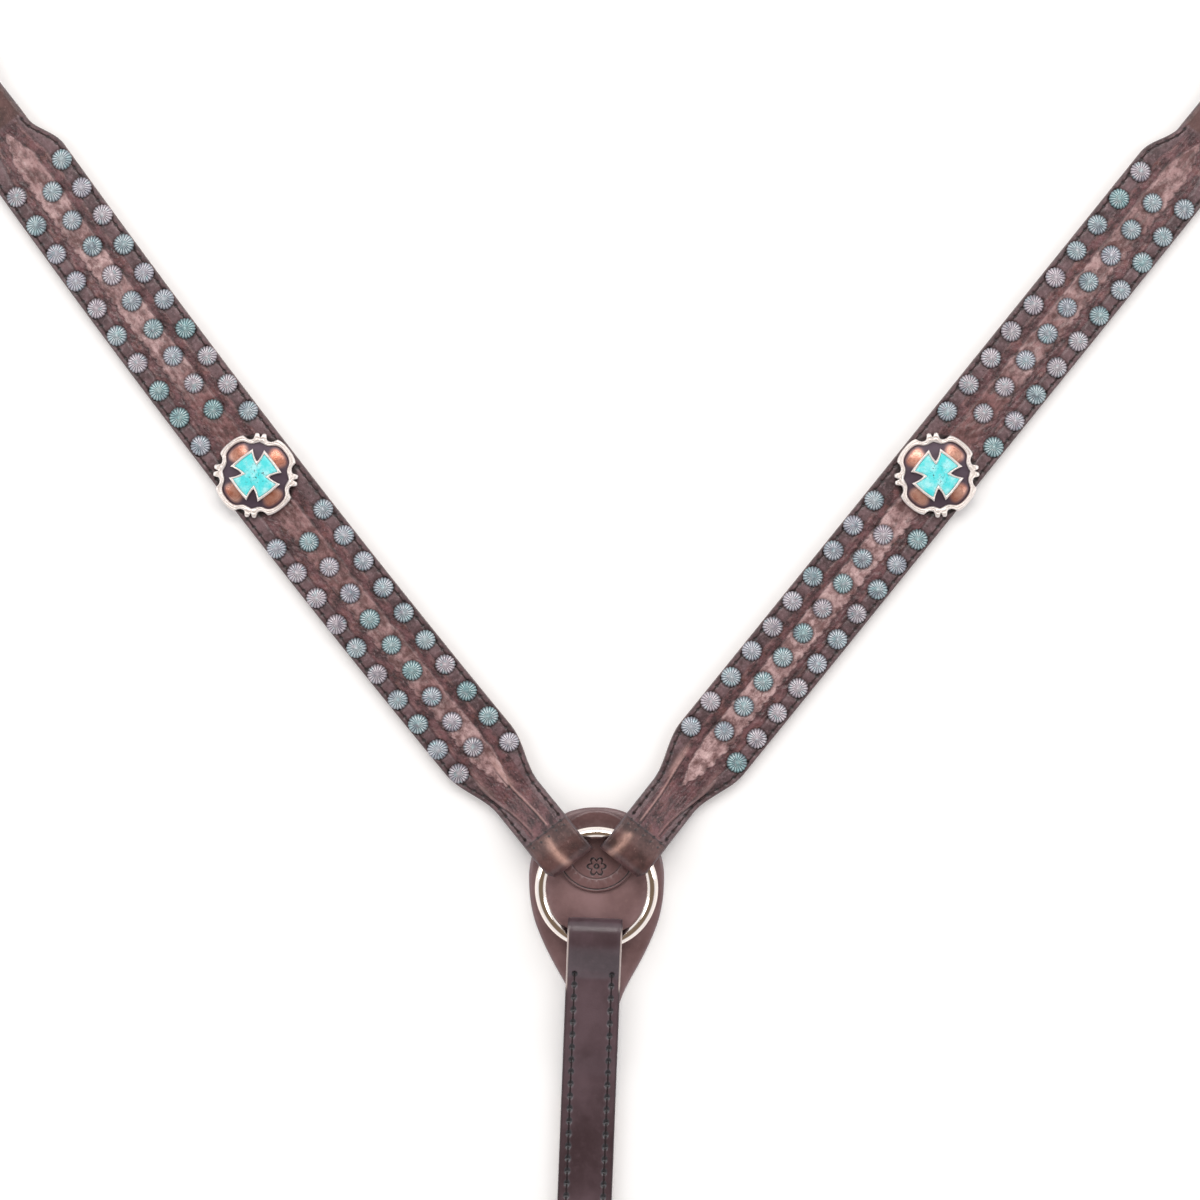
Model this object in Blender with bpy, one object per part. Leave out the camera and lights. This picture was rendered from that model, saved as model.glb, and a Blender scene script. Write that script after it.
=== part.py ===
"""A western breastplate (breast collar), lying flat: studded shoulder straps and a belly strap on a centre ring.

The centre of the ring is at x = y = 0 and the floor is z = 0. The shoulder straps run up and out, the belly
strap down. Every strap is laid out in its own frame: s runs along it from the ring's centre, w runs across it
and z is up.
"""

import math

import bmesh
import bpy
from mathutils import Vector

MM = 0.001
GAP = 0.3  # clearance between separate pieces, in mm like every size below

# Leather
FACE_T = 3.0
LINING_T = 2.4
SAFE_T = 3.0
PATCH_T = 1.8
EDGE_CHAMFER = 0.5

# Centre ring
RING_MID = 25.8
RING_WIRE = 2.8

# Heights that follow from stacking the layers at the ring
PATCH_Z = SAFE_T + GAP
TAIL_Z = PATCH_Z + PATCH_T + GAP + LINING_T / 2  # middle of a turned-back strap end under the ring
RING_Z = TAIL_Z + LINING_T / 2 + GAP + RING_WIRE
FLAT_TAIL_Z = LINING_T / 2
FLAT_FACE_Z = LINING_T + GAP + FACE_T / 2  # middle of the face leather where it lies flat
FACE_TOP = LINING_T + GAP + FACE_T
LAYER_STEP = (LINING_T + FACE_T) / 2 + GAP  # from the middle of a tail to the middle of the face on it

# Shoulder straps: the two lie at slightly different angles, the left one a little bowed
SHOULDERS = {
    "left": {"side": -1, "angle": 37.9, "bow": 5.0},
    "right": {"side": 1, "angle": 38.9, "bow": 0.3},
}
SHIFT = 1.2  # how far each strap's middle line passes outside the ring's centre
NECK_HALF = 12.1
BODY_HALF = 19.0
FLARE = (55.0, 84.0)
UPPER_TAPER = (426.0, 446.0)
FOLD_S = 21.4
TAIL_END = 60.0
TOP_BAR_S = 484.0
TOP_TAIL_END = 455.0

# Studs, in three rows over two sections of each strap
SPOT_R = 4.65
SPOT_H = 2.3
RUNNER = (1.2, 0.6)
SPOTS = {"outer": 10, "middle": 9, "inner": 10}
ROWS = {  # of each row, where along the strap its first and last stud lie, and how far across
    "left": {
        "lower": {
            "outer": (81.0, 216.0, 14.2),
            "middle": (86.4, 208.8, 0.7),
            "inner": (78.4, 217.2, -13.6),
        },
        "upper": {
            "outer": (275.6, 418.8, 13.4),
            "middle": (284.6, 410.6, -1.7),
            "inner": (274.2, 420.0, -14.3),
        },
    },
    "right": {
        "lower": {
            "outer": (86.0, 219.6, 13.1),
            "middle": (93.6, 211.4, -1.0),
            "inner": (85.4, 221.2, -14.1),
        },
        "upper": {
            "outer": (275.0, 417.0, 13.6),
            "middle": (284.8, 410.0, 0.0),
            "inner": (275.0, 418.0, -13.4),
        },
    },
}

# Concho
CONCHO_S = 248.4
CONCHO_W = 1.2
CONCHO_R = 19.5
CONCHO_EDGE = 0.8
CONCHO_H = 2.4
PLATEAU_R = 12.6
BORDER_W = 2.4
BORDER_H = 1.5
CROSS_END = 10.4
CROSS_HALF_END = 6.7
CROSS_NOTCH = 4.6
CROSS_EDGE = 1.3
POST_R = 2.6
SCREW_HEAD_R = 4.4

# Belly strap
BELLY_LEAN = 2.2
BELLY_HALF = 12.7
BELLY_FOLD_S = 20.3
BELLY_FRONT_Z = RING_Z + RING_WIRE + 1.9 + FACE_T / 2
BELLY_TAIL_END = 98.0
BELLY_END_HALF = 12.0
SNAP_BAR_S = 250.0
BELLY_END_TAIL = 216.0

# Rectangular loop and tug strap at the top of each shoulder strap
WIRE_R = 2.5
BAR_Z = LINING_T + GAP + WIRE_R
LOOP_SPAN = 21.0
LOOP_HALF = 15.6
TUG_HALF = 11.0
TUG_T = 2.4
TUG_BAR_S = TOP_BAR_S + LOOP_SPAN
HEEL_S = TUG_BAR_S + 42.0
HEEL_Z = 7.8
BUCKLE_WIRE = 2.0
BUCKLE_SPAN = 24.0
BUCKLE_HALF = 13.5
TONGUE_R = 1.4
TUG_FAR_S = 645.0
TUG_EYE = 8.0  # inside height of the loop that takes the saddle's dee

# Snap on the end of the belly strap
EYE_SPAN = 13.0
EYE_HALF = 15.4
STEM_R = 2.5
STEM_HEAD_R = 4.2
COLLAR_R = 5.2
HOOK_T = 9.0
BOLT_R = 2.3
BOLT_W = -11.0


def ease(x, low, high):
    """Goes smoothly from 0 to 1 as x goes from low to high."""
    f = min(max((x - low) / (high - low), 0.0), 1.0)
    return f * f * (3 - 2 * f)


def steps(start, end, count):
    return [start + (end - start) * i / (count - 1) for i in range(count)]


def arc(s, z, radius, start, end, count):
    """Points of an arc in the s-z plane, angles in degrees from +s towards +z."""
    turns = [math.radians(a) for a in steps(start, end, count)]
    return [(s + radius * math.cos(a), z + radius * math.sin(a)) for a in turns]


class Lay:
    """The frame of one strap: maps (s, w, z) in mm to world metres."""

    def __init__(self, along, across, shift=0.0, bow=0.0, length=450.0):
        self.along = Vector(along)
        self.across = Vector(across)
        self.shift = shift
        self.bow = bow
        self.length = length

    def drift(self, s):
        f = min(max(s / self.length, 0.0), 1.0)
        return self.shift + self.bow * 4 * f * (1 - f)

    def point(self, s, w, z):
        flat = self.along * s + self.across * (w + self.drift(s))
        return Vector((flat.x, flat.y, z)) * MM


def shoulder_lay(side, angle, bow):
    a = math.radians(angle)
    return Lay(
        (side * math.sin(a), math.cos(a)),
        (side * math.cos(a), -math.sin(a)),
        SHIFT,
        bow,
    )


def belly_lay():
    a = math.radians(BELLY_LEAN)
    return Lay((-math.sin(a), -math.cos(a)), (-math.cos(a), math.sin(a)))


# Materials


def material(name, colour, roughness, metallic):
    found = bpy.data.materials.get(name)
    if found:
        return found
    made = bpy.data.materials.new(name)
    made.use_nodes = True
    shader = made.node_tree.nodes["Principled BSDF"]
    shader.inputs["Base Color"].default_value = (*colour, 1.0)
    shader.inputs["Roughness"].default_value = roughness
    shader.inputs["Metallic"].default_value = metallic
    return made


FINISHES = {
    "tooled_leather": ((0.12, 0.045, 0.038), 0.5, 0.0),
    "plain_leather": ((0.07, 0.045, 0.05), 0.45, 0.0),
    "lining_leather": ((0.17, 0.09, 0.06), 0.8, 0.0),
    "patina_metal": ((0.24, 0.3, 0.3), 0.5, 0.8),
    "nickel": ((0.7, 0.69, 0.66), 0.2, 1.0),
    "copper": ((0.55, 0.25, 0.15), 0.35, 1.0),
    "silver": ((0.8, 0.77, 0.72), 0.3, 1.0),
    "turquoise": ((0.1, 0.75, 0.65), 0.35, 0.0),
}


def finish(name):
    colour, roughness, metallic = FINISHES[name]
    return material(name, colour, roughness, metallic)


# Solids


def solid(name, verts, faces, slot, smooth=False):
    mesh = bpy.data.meshes.new(name)
    mesh.from_pydata([tuple(v) for v in verts], [], faces)
    made = bpy.data.objects.new(name, mesh)
    bpy.context.collection.objects.link(made)
    work = bmesh.new()
    work.from_mesh(mesh)
    bmesh.ops.recalc_face_normals(work, faces=work.faces)
    work.to_mesh(mesh)
    work.free()
    made.data.materials.append(finish(slot))
    for polygon in mesh.polygons:
        polygon.use_smooth = smooth
    return made


def rings_to_faces(rings, sides, closed):
    """Quads that join each ring of points to the next, with end caps where the run is open."""
    faces = []
    last = rings if closed else rings - 1
    for i in range(last):
        j = (i + 1) % rings
        for k in range(sides):
            m = (k + 1) % sides
            faces.append((i * sides + k, i * sides + m, j * sides + m, j * sides + k))
    if not closed:
        faces.append(tuple(range(sides)))
        faces.append(tuple((rings - 1) * sides + k for k in range(sides)))
    return faces


def ribbon(name, lay, path, half_width, slot):
    """A flat strap that follows path, a list of (s, z, half thickness), with chamfered edges."""
    verts = []
    for i, (s, z, half) in enumerate(path):
        before = path[max(i - 1, 0)]
        after = path[min(i + 1, len(path) - 1)]
        tangent = Vector((after[0] - before[0], after[1] - before[1])).normalized()
        normal = Vector((-tangent.y, tangent.x))
        wide = half_width(s, i)
        cut = EDGE_CHAMFER
        section = (
            (-wide, -half + cut),
            (-wide + cut, -half),
            (wide - cut, -half),
            (wide, -half + cut),
            (wide, half - cut),
            (wide - cut, half),
            (-wide + cut, half),
            (-wide, half - cut),
        )
        for w, n in section:
            verts.append(lay.point(s + normal.x * n, w, z + normal.y * n))
    return solid(name, verts, rings_to_faces(len(path), 8, False), slot)


def wire(name, points, radius, sides, closed, slot):
    """A round wire through world points in mm, its section kept level."""
    points = [Vector(p) for p in points]
    count = len(points)
    verts = []
    for i, p in enumerate(points):
        before = points[(i - 1) % count] if closed or i else p
        after = points[(i + 1) % count] if closed or i < count - 1 else p
        tangent = (after - before).normalized()
        level = Vector((0, 0, 1)).cross(tangent).normalized()
        up = tangent.cross(level)
        for k in range(sides):
            a = 2 * math.pi * (k + 0.5) / sides
            verts.append((p + level * radius * math.cos(a) + up * radius * math.sin(a)) * MM)
    return solid(name, verts, rings_to_faces(count, sides, closed), slot, smooth=True)


def lathe(name, profile, centre, sides, slot):
    """Turns a profile of (r, z), from the axis and back to it, about a vertical line."""
    cx, cy = centre
    verts = []
    faces = []
    starts = []
    for r, z in profile:
        starts.append(len(verts))
        if r == 0:
            verts.append(Vector((cx, cy, z)) * MM)
            continue
        for k in range(sides):
            a = 2 * math.pi * k / sides
            verts.append(Vector((cx + r * math.cos(a), cy + r * math.sin(a), z)) * MM)
    for i in range(len(profile) - 1):
        for k in range(sides):
            m = (k + 1) % sides
            low = [starts[i]] if profile[i][0] == 0 else [starts[i] + k, starts[i] + m]
            high = [starts[i + 1]] if profile[i + 1][0] == 0 else [starts[i + 1] + m, starts[i + 1] + k]
            if len(low) + len(high) > 2:
                faces.append(tuple(low + high))
    return solid(name, verts, faces, slot, smooth=True)


def prism(name, outline, z0, z1, slot, place=None):
    """An outline of (x, y) in mm, drawn up from z0 to z1."""
    place = place or (lambda x, y, z: Vector((x, y, z)) * MM)
    verts = [place(x, y, z0) for x, y in outline] + [place(x, y, z1) for x, y in outline]
    return solid(name, verts, rings_to_faces(2, len(outline), False), slot)


def frame_prism(name, outer, inner, z0, z1, slot, place):
    """A closed band between two outlines with the same number of points."""
    verts = []
    for (ox, oy), (ix, iy) in zip(outer, inner):
        verts += [place(ox, oy, z0), place(ox, oy, z1), place(ix, iy, z1), place(ix, iy, z0)]
    return solid(name, verts, rings_to_faces(len(outer), 4, True), slot)


def box(name, lay, s, w, z):
    """A box in a strap's frame; s, w and z are (low, high)."""
    corners = [(s[0], w[0]), (s[1], w[0]), (s[1], w[1]), (s[0], w[1])]
    return prism(name, corners, z[0], z[1], "nickel", lay.point)


def rod(name, start, end, radius, sides, slot="nickel"):
    """A round bar between two world points in mm."""
    start = Vector(start)
    end = Vector(end)
    turn = (end - start).to_track_quat("Z", "Y").to_matrix()
    verts = []
    for p in (start, end):
        for k in range(sides):
            a = 2 * math.pi * (k + 0.5) / sides
            verts.append((p + turn @ Vector((radius * math.cos(a), radius * math.sin(a), 0))) * MM)
    return solid(name, verts, rings_to_faces(2, sides, False), slot, smooth=True)


def combine(target, tool, operation):
    """Joins tool to target, or cuts it away, and removes tool."""
    step = target.modifiers.new("combine", "BOOLEAN")
    step.operation = operation
    step.solver = "EXACT"
    step.object = tool
    made = bpy.data.meshes.new_from_object(target.evaluated_get(bpy.context.evaluated_depsgraph_get()))
    old = target.data
    target.modifiers.clear()
    target.data = made
    bpy.data.meshes.remove(old)
    bpy.data.objects.remove(tool, do_unlink=True)
    return target


def mm(v):
    return tuple(c / MM for c in v)


def rounded_box(half_x, half_y, radius, count):
    """The middle line of a rectangle with round corners."""
    points = []
    for quarter, (sx, sy) in enumerate(((1, 1), (-1, 1), (-1, -1), (1, -1))):
        cx = sx * (half_x - radius)
        cy = sy * (half_y - radius)
        for a in steps(90 * quarter, 90 * quarter + 90, count):
            turn = math.radians(a)
            points.append((cx + radius * math.cos(turn), cy + radius * math.sin(turn)))
    return points


# Leather paths


def tail_z(s):
    """Middle height of the turned-back end under a shoulder strap: up over the safe, then down to the floor."""
    return TAIL_Z + (FLAT_TAIL_Z - TAIL_Z) * ease(s, 34, TAIL_END)


def front_z(s):
    """Middle height of a shoulder strap's face leather, from over the ring down to the flat."""
    over_ring = RING_Z + RING_WIRE + GAP + FACE_T / 2
    settled = tail_z(s) + LAYER_STEP
    return over_ring + (settled - over_ring) * ease(s, 25, 42)


def belly_tail_z(s):
    over_safe = SAFE_T + GAP + LINING_T / 2
    after_ring = TAIL_Z + (over_safe - TAIL_Z) * ease(s, 31, 46)
    return after_ring + (FLAT_TAIL_Z - over_safe) * ease(s, 71, 92)


def belly_front_z(s):
    settled = belly_tail_z(s) + LAYER_STEP
    return BELLY_FRONT_Z + (settled - BELLY_FRONT_Z) * ease(s, 23, 43)


def top_z(s, bar):
    """Middle height of the face where it rises over the bar at its far end."""
    return FLAT_FACE_Z + (BAR_Z + WIRE_R + GAP + FACE_T / 2 - FLAT_FACE_Z) * ease(s, bar - 20, bar - 3)


def far_fold(bar, tail_end):
    """The end of a strap that turns round a bar and comes back underneath."""
    high = BAR_Z + WIRE_R + GAP + FACE_T / 2
    middle = (high + FLAT_TAIL_Z) / 2
    radius = (high - FLAT_TAIL_Z) / 2
    turned = arc(bar + 0.1, middle, radius, 90, -90, 9)
    path = []
    for i, (s, z) in enumerate(turned):
        path.append((s, z, FACE_T / 2 + (LINING_T - FACE_T) / 2 * i / 8))
    path += [(s, FLAT_TAIL_Z, LINING_T / 2) for s in (bar - 12, tail_end)]
    return path


def near_fold(s0, front, count=9):
    """The end of a strap that turns up round the ring, from its tail to its face."""
    middle = (TAIL_Z + front) / 2
    radius = (front - TAIL_Z) / 2
    turned = arc(s0, middle, radius, -90, -270, count)
    return [(s, z, LINING_T / 2 + (FACE_T - LINING_T) / 2 * i / (count - 1)) for i, (s, z) in enumerate(turned)]


def shoulder_path():
    tail = [(s, tail_z(s), LINING_T / 2) for s in (60, 56, 52, 48, 44, 40, 36, 30)]
    turn = near_fold(FOLD_S, front_z(0))
    fall = [(s, front_z(s), FACE_T / 2) for s in (25, 28, 31, 34, 37, 40, 44, 48, 52, 56)]
    flat = [(s, FLAT_FACE_Z, FACE_T / 2) for s in (60, 64, 68, 72, 76, 80, 84)]
    flat += [(s, FLAT_FACE_Z, FACE_T / 2) for s in steps(105, 420, 10)]
    flat += [(s, FLAT_FACE_Z, FACE_T / 2) for s in (426, 430, 434, 438, 442, 446, 455)]
    rise = [(s, top_z(s, TOP_BAR_S), FACE_T / 2) for s in (464, 468, 472, 476, 480)]
    return tail + turn + fall + flat + rise + far_fold(TOP_BAR_S, TOP_TAIL_END)


def shoulder_half(s):
    wide = BODY_HALF - NECK_HALF
    return NECK_HALF + wide * (ease(s, *FLARE) - ease(s, *UPPER_TAPER))


def belly_path():
    tail = [(s, belly_tail_z(s), LINING_T / 2) for s in (98, 92, 87, 82, 77, 71, 60, 46, 41, 36, 31)]
    turn = near_fold(BELLY_FOLD_S, BELLY_FRONT_Z)
    fall = [(s, belly_front_z(s), FACE_T / 2) for s in (24, 27, 30, 32, 34, 36, 38, 40, 43, 46)]
    fall += [(s, belly_front_z(s), FACE_T / 2) for s in (60, 71, 77, 82, 87, 92)]
    flat = [(s, FLAT_FACE_Z, FACE_T / 2) for s in (98, 130, 165, 200, 226)]
    rise = [(s, top_z(s, SNAP_BAR_S), FACE_T / 2) for s in (230, 234, 238, 242, 246)]
    return tail + turn + fall + flat + rise + far_fold(SNAP_BAR_S, BELLY_END_TAIL)


def belly_half(s):
    return BELLY_HALF + (BELLY_END_HALF - BELLY_HALF) * ease(s, 190, 225)


# Sub-parts


def make_safe():
    """The teardrop behind the ring; its tip lies under the belly strap."""
    half = ((31.5, 3.0), (31.2, 9.0), (29.6, 16.0), (26.6, 22.6), (21.6, 29.0), (14.6, 34.0), (7.4, 36.3))
    lower = ((30.9, -6.0), (28.9, -15.6), (25.2, -25.2), (20.6, -34.6), (15.4, -43.9), (12.4, -50.0))
    lower += ((9.6, -57.0), (5.0, -64.0))
    right = [(0.0, 36.9), *reversed(half), *lower]
    outline = right + [(0.0, -67.0)] + [(-x, y) for x, y in reversed(right[1:])]
    base = [(x * 0.985, y * 0.985) for x, y in outline]
    levels = ((base, 0.0), (outline, 0.6), (outline, SAFE_T - 0.6), (base, SAFE_T))
    verts = [Vector((x, y, z)) * MM for loop, z in levels for x, y in loop]
    return solid("ring_safe", verts, rings_to_faces(4, len(outline), False), "plain_leather")


def make_patch():
    profile = [
        (0, PATCH_Z),
        (18.8, PATCH_Z),
        (19.2, PATCH_Z + 0.4),
        (19.2, PATCH_Z + PATCH_T - 0.4),
        (18.8, PATCH_Z + PATCH_T),
        (0, PATCH_Z + PATCH_T),
    ]
    return lathe("round_patch", profile, (0.0, 16.8), 40, "tooled_leather")


def make_ring():
    count = 48
    turns = [2 * math.pi * i / count for i in range(count)]
    points = [(RING_MID * math.cos(a), RING_MID * math.sin(a), RING_Z) for a in turns]
    return wire("center_ring", points, RING_WIRE, 10, True, "nickel")


def make_belly(lay):
    ribbon("belly_face", lay, belly_path(), lambda s, i: belly_half(s), "plain_leather")
    stations = steps(BELLY_TAIL_END + 0.6, BELLY_END_TAIL - 0.6, 7)
    path = [(s, FLAT_TAIL_Z, LINING_T / 2) for s in stations]
    ribbon("belly_lining", lay, path, lambda s, i: belly_half(s), "lining_leather")


def make_shoulder(name, lay):
    face = ribbon(f"{name}_face", lay, shoulder_path(), lambda s, i: shoulder_half(s), "tooled_leather")
    stations = [TAIL_END + 0.6, 64, 68, 72, 76, 80, 84]
    stations += steps(105, 420, 10) + [426, 430, 434, 438, 442, 446, TOP_TAIL_END - 0.6]
    path = [(s, FLAT_TAIL_Z, LINING_T / 2) for s in stations]
    lining = ribbon(f"{name}_lining", lay, path, lambda s, i: shoulder_half(s), "lining_leather")
    centre = mm(lay.point(CONCHO_S, CONCHO_W, 0))[:2]
    low, high = -1.0, FACE_TOP + 1.0
    for leather in (face, lining):
        combine(leather, rod("bore", (*centre, low), (*centre, high), POST_R + GAP, 20), "DIFFERENCE")
    recess = rod("recess", (*centre, low), (*centre, 1.4), SCREW_HEAD_R + GAP, 24)
    combine(lining, recess, "DIFFERENCE")


def spot_row(name, lay, span, count, w):
    """A row of domed studs on one thin runner."""
    z = FACE_TOP + GAP
    half, thick = RUNNER[0] / 2, RUNNER[1]
    middle = steps(span[0], span[1], 5)
    verts = []
    for s in middle:
        for dw, dz in ((-half, 0), (half, 0), (half, thick), (-half, thick)):
            verts.append(lay.point(s, w + dw, z + dz))
    row = solid(name, verts, rings_to_faces(len(middle), 4, False), "patina_metal")
    sides = 7
    for s in steps(span[0], span[1], count):
        verts = []
        for radius, height in ((SPOT_R, 0.0), (SPOT_R * 0.93, 0.9), (SPOT_R * 0.5, SPOT_H)):
            for k in range(sides):
                a = 2 * math.pi * (k + 0.5) / sides
                verts.append(lay.point(s + radius * math.cos(a), w + radius * math.sin(a), z + height))
        stud = solid("stud", verts, rings_to_faces(3, sides, False), "patina_metal")
        combine(row, stud, "UNION")
    return row


def make_spots(name, lay):
    for section, rows in ROWS[name].items():
        for row, (first, last, w) in rows.items():
            spot_row(f"{name}_spots_{section}_{row}", lay, (first, last), SPOTS[row], w)


def lobe(turn):
    """The concho's outline as a share of its radius: four broad lobes, with a pair of curls between each two."""
    a = math.degrees(turn) % 90
    a = min(a, 90 - a)
    return 1.0 - 0.13 * ease(a, 21.5, 27) + 0.13 * ease(a, 34, 38.5) - 0.1 * ease(a, 40.5, 45)


def cross_outline(inset):
    """The outline of a cross whose arms widen outwards, set in by inset, with three points to a side."""
    end = CROSS_END - inset
    notch = CROSS_NOTCH - inset * 1.1
    half = CROSS_HALF_END - inset * 1.35
    points = []
    for quarter in range(4):
        a = math.radians(90 * quarter)
        for x, y in ((notch, -notch), (end, -half), (end + 0.3, 0.0), (end, half)):
            points.append((x * math.cos(a) - y * math.sin(a), x * math.sin(a) + y * math.cos(a)))
    return points


def on_concho(lay, x, y, z):
    return lay.point(CONCHO_S + x, CONCHO_W + y, z)


def make_concho(name, lay):
    centre = mm(lay.point(CONCHO_S, CONCHO_W, 0))[:2]
    bottom = FACE_TOP + GAP
    edge = bottom + CONCHO_EDGE
    post_low = 1.4 + GAP
    bore_top = 5.2
    count = 64
    turns = [2 * math.pi * i / count for i in range(count)]
    rim = [CONCHO_R * lobe(a) for a in turns]
    rings = [([1.7] * count, bore_top), ([1.7] * count, post_low), ([POST_R] * count, post_low)]
    rings += [([POST_R] * count, bottom), ([r - 0.3 for r in rim], bottom), (rim, bottom + 0.3), (rim, edge)]
    rings += [([r - BORDER_W - GAP for r in rim], edge), ([PLATEAU_R] * count, edge + CONCHO_H)]
    verts = []
    for radii, z in rings:
        verts += [on_concho(lay, r * math.cos(a), r * math.sin(a), z) for r, a in zip(radii, turns)]
    solid(f"{name}_concho_base", verts, rings_to_faces(len(rings), count, False), "copper")

    outer = [(r * math.cos(a), r * math.sin(a)) for r, a in zip(rim, turns)]
    inner = [((r - BORDER_W) * math.cos(a), (r - BORDER_W) * math.sin(a)) for r, a in zip(rim, turns)]

    def on_top(x, y, z):
        return on_concho(lay, x, y, z)

    frame_prism(f"{name}_concho_border", outer, inner, edge + GAP, edge + GAP + BORDER_H, "silver", on_top)

    level = edge + CONCHO_H + GAP
    outline = cross_outline(0.0)
    frame_prism(f"{name}_concho_cross", outline, cross_outline(CROSS_EDGE), level, level + 1.3, "silver", on_top)
    stone = cross_outline(CROSS_EDGE + GAP)
    prism(f"{name}_concho_stone", stone, level, level + 1.1, "turquoise", on_top)

    head = [(0, 0.2), (SCREW_HEAD_R - 0.4, 0.2), (SCREW_HEAD_R, 0.5), (SCREW_HEAD_R, 1.1), (1.4, 1.1)]
    head += [(1.4, bore_top - 0.5), (0, bore_top - 0.5)]
    lathe(f"{name}_concho_screw", head, centre, 24, "nickel")


def make_loop(name, lay):
    """The rectangular loop between a shoulder strap and its tug strap."""
    middle = TOP_BAR_S + LOOP_SPAN / 2
    flat = rounded_box(LOOP_SPAN / 2, LOOP_HALF, 3.4, 5)
    points = [mm(lay.point(middle + x, y, BAR_Z)) for x, y in flat]
    return wire(f"{name}_loop", points, WIRE_R, 10, True, "nickel")


def tug_path():
    """From the tail at the buckle, round the loop, along the floor, round the far end, and back through the buckle."""
    half = TUG_T / 2
    round_heel = BUCKLE_WIRE + GAP + half
    round_bar = WIRE_R + GAP + half
    first_high = HEEL_Z + round_heel
    first_low = BAR_Z + round_bar
    far = (TUG_EYE + TUG_T) / 2
    under_bar = TUG_T + GAP + half

    def first_z(s):
        return first_low + (first_high - first_low) * ease(s, TUG_BAR_S + 6, HEEL_S - 2)

    points = [(HEEL_S - 15, HEEL_Z - round_heel + 2.2), (HEEL_S - 8, HEEL_Z - round_heel + 1.0)]
    points += arc(HEEL_S, HEEL_Z, round_heel, -90, 90, 9)
    points += [(s, first_z(s)) for s in steps(HEEL_S - 6, TUG_BAR_S + 8, 5)]
    points += arc(TUG_BAR_S, BAR_Z, round_bar, 90, 270, 9)
    points += [(s, half) for s in (HEEL_S + 13, HEEL_S + 53, TUG_FAR_S - 3)]
    points += arc(TUG_FAR_S, half + far, far, -90, 90, 9)
    top = half + 2 * far
    rise = TUG_FAR_S - 55, TUG_FAR_S - 3
    for s in steps(TUG_FAR_S - 9, TUG_FAR_S - 49, 5):
        points.append((s, under_bar + (top - under_bar) * ease(s, *rise)))
    points += [(s, under_bar) for s in (HEEL_S + 37, HEEL_S + 27)]
    billet = first_high + TUG_T + GAP
    climb = HEEL_S + 2, HEEL_S + 22
    for s in steps(climb[1], climb[0], 6):
        points.append((s, billet + (under_bar - billet) * ease(s, *climb)))
    for back in (6, 14, 24, 30, 34):
        points.append((HEEL_S - back, first_z(HEEL_S - back) + TUG_T + GAP))
    return [(s, z, half) for s, z in points]


def make_tug(name, lay):
    path = tug_path()
    tip = {len(path) - 1: 5.0, len(path) - 2: 9.6}
    strap = ribbon(f"{name}_tug", lay, path, lambda s, i: tip.get(i, TUG_HALF), "plain_leather")
    slot = (-TONGUE_R - 0.5, TONGUE_R + 0.5)
    combine(strap, box("cut", lay, (HEEL_S - 6, HEEL_S + 6.4), slot, (2.55, HEEL_Z + 4.9)), "DIFFERENCE")
    combine(strap, box("cut", lay, (HEEL_S - 3, HEEL_S + 14), slot, (HEEL_Z + 1, HEEL_Z + 9)), "DIFFERENCE")

    middle = HEEL_S + BUCKLE_SPAN / 2
    flat = rounded_box(BUCKLE_SPAN / 2, BUCKLE_HALF, 3.2, 4)
    points = [mm(lay.point(middle + x, y, HEEL_Z)) for x, y in flat]
    wire(f"{name}_buckle", points, BUCKLE_WIRE, 8, True, "nickel")

    eye_r = BUCKLE_WIRE + GAP + TONGUE_R
    turns, sides = 18, 8
    verts = []
    for i in range(turns):
        a = 2 * math.pi * i / turns
        for k in range(sides):
            b = 2 * math.pi * (k + 0.5) / sides
            reach = eye_r + TONGUE_R * math.cos(b)
            across = TONGUE_R * math.sin(b)
            verts.append(lay.point(HEEL_S + reach * math.cos(a), across, HEEL_Z + reach * math.sin(a)))
    tongue = solid(f"{name}_tongue", verts, rings_to_faces(turns, sides, True), "nickel", smooth=True)
    start = mm(lay.point(HEEL_S, 0, HEEL_Z + eye_r))
    end = mm(lay.point(HEEL_S + BUCKLE_SPAN + 3, 0, HEEL_Z + eye_r))
    combine(tongue, rod("pin", start, end, TONGUE_R * 0.98, 8), "UNION")

    flat_in = rounded_box(3.35, TUG_HALF + 0.4, 0.6, 3)
    flat_out = rounded_box(4.75, TUG_HALF + 1.8, 1.6, 3)
    keeper_z = 11.1
    low, high = HEEL_S - 30, HEEL_S - 21

    def across(x, y, s):
        return lay.point(s, y, keeper_z + x)

    frame_prism(f"{name}_keeper", flat_out, flat_in, low, high, "plain_leather", across)


def make_snap_eye(lay):
    middle = SNAP_BAR_S + EYE_SPAN / 2
    flat = rounded_box(EYE_SPAN / 2, EYE_HALF, 3.2, 5)
    points = [mm(lay.point(middle + x, y, BAR_Z)) for x, y in flat]
    eye = wire("snap_eye", points, WIRE_R, 10, True, "nickel")
    far = SNAP_BAR_S + EYE_SPAN

    def at(s):
        return mm(lay.point(s, 0, BAR_Z))

    combine(eye, rod("stem", at(far), at(far + 12), STEM_R * 0.99, 16), "UNION")
    combine(eye, rod("head", at(far + 10.4), at(far + 13), STEM_HEAD_R, 16), "UNION")
    return eye


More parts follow.
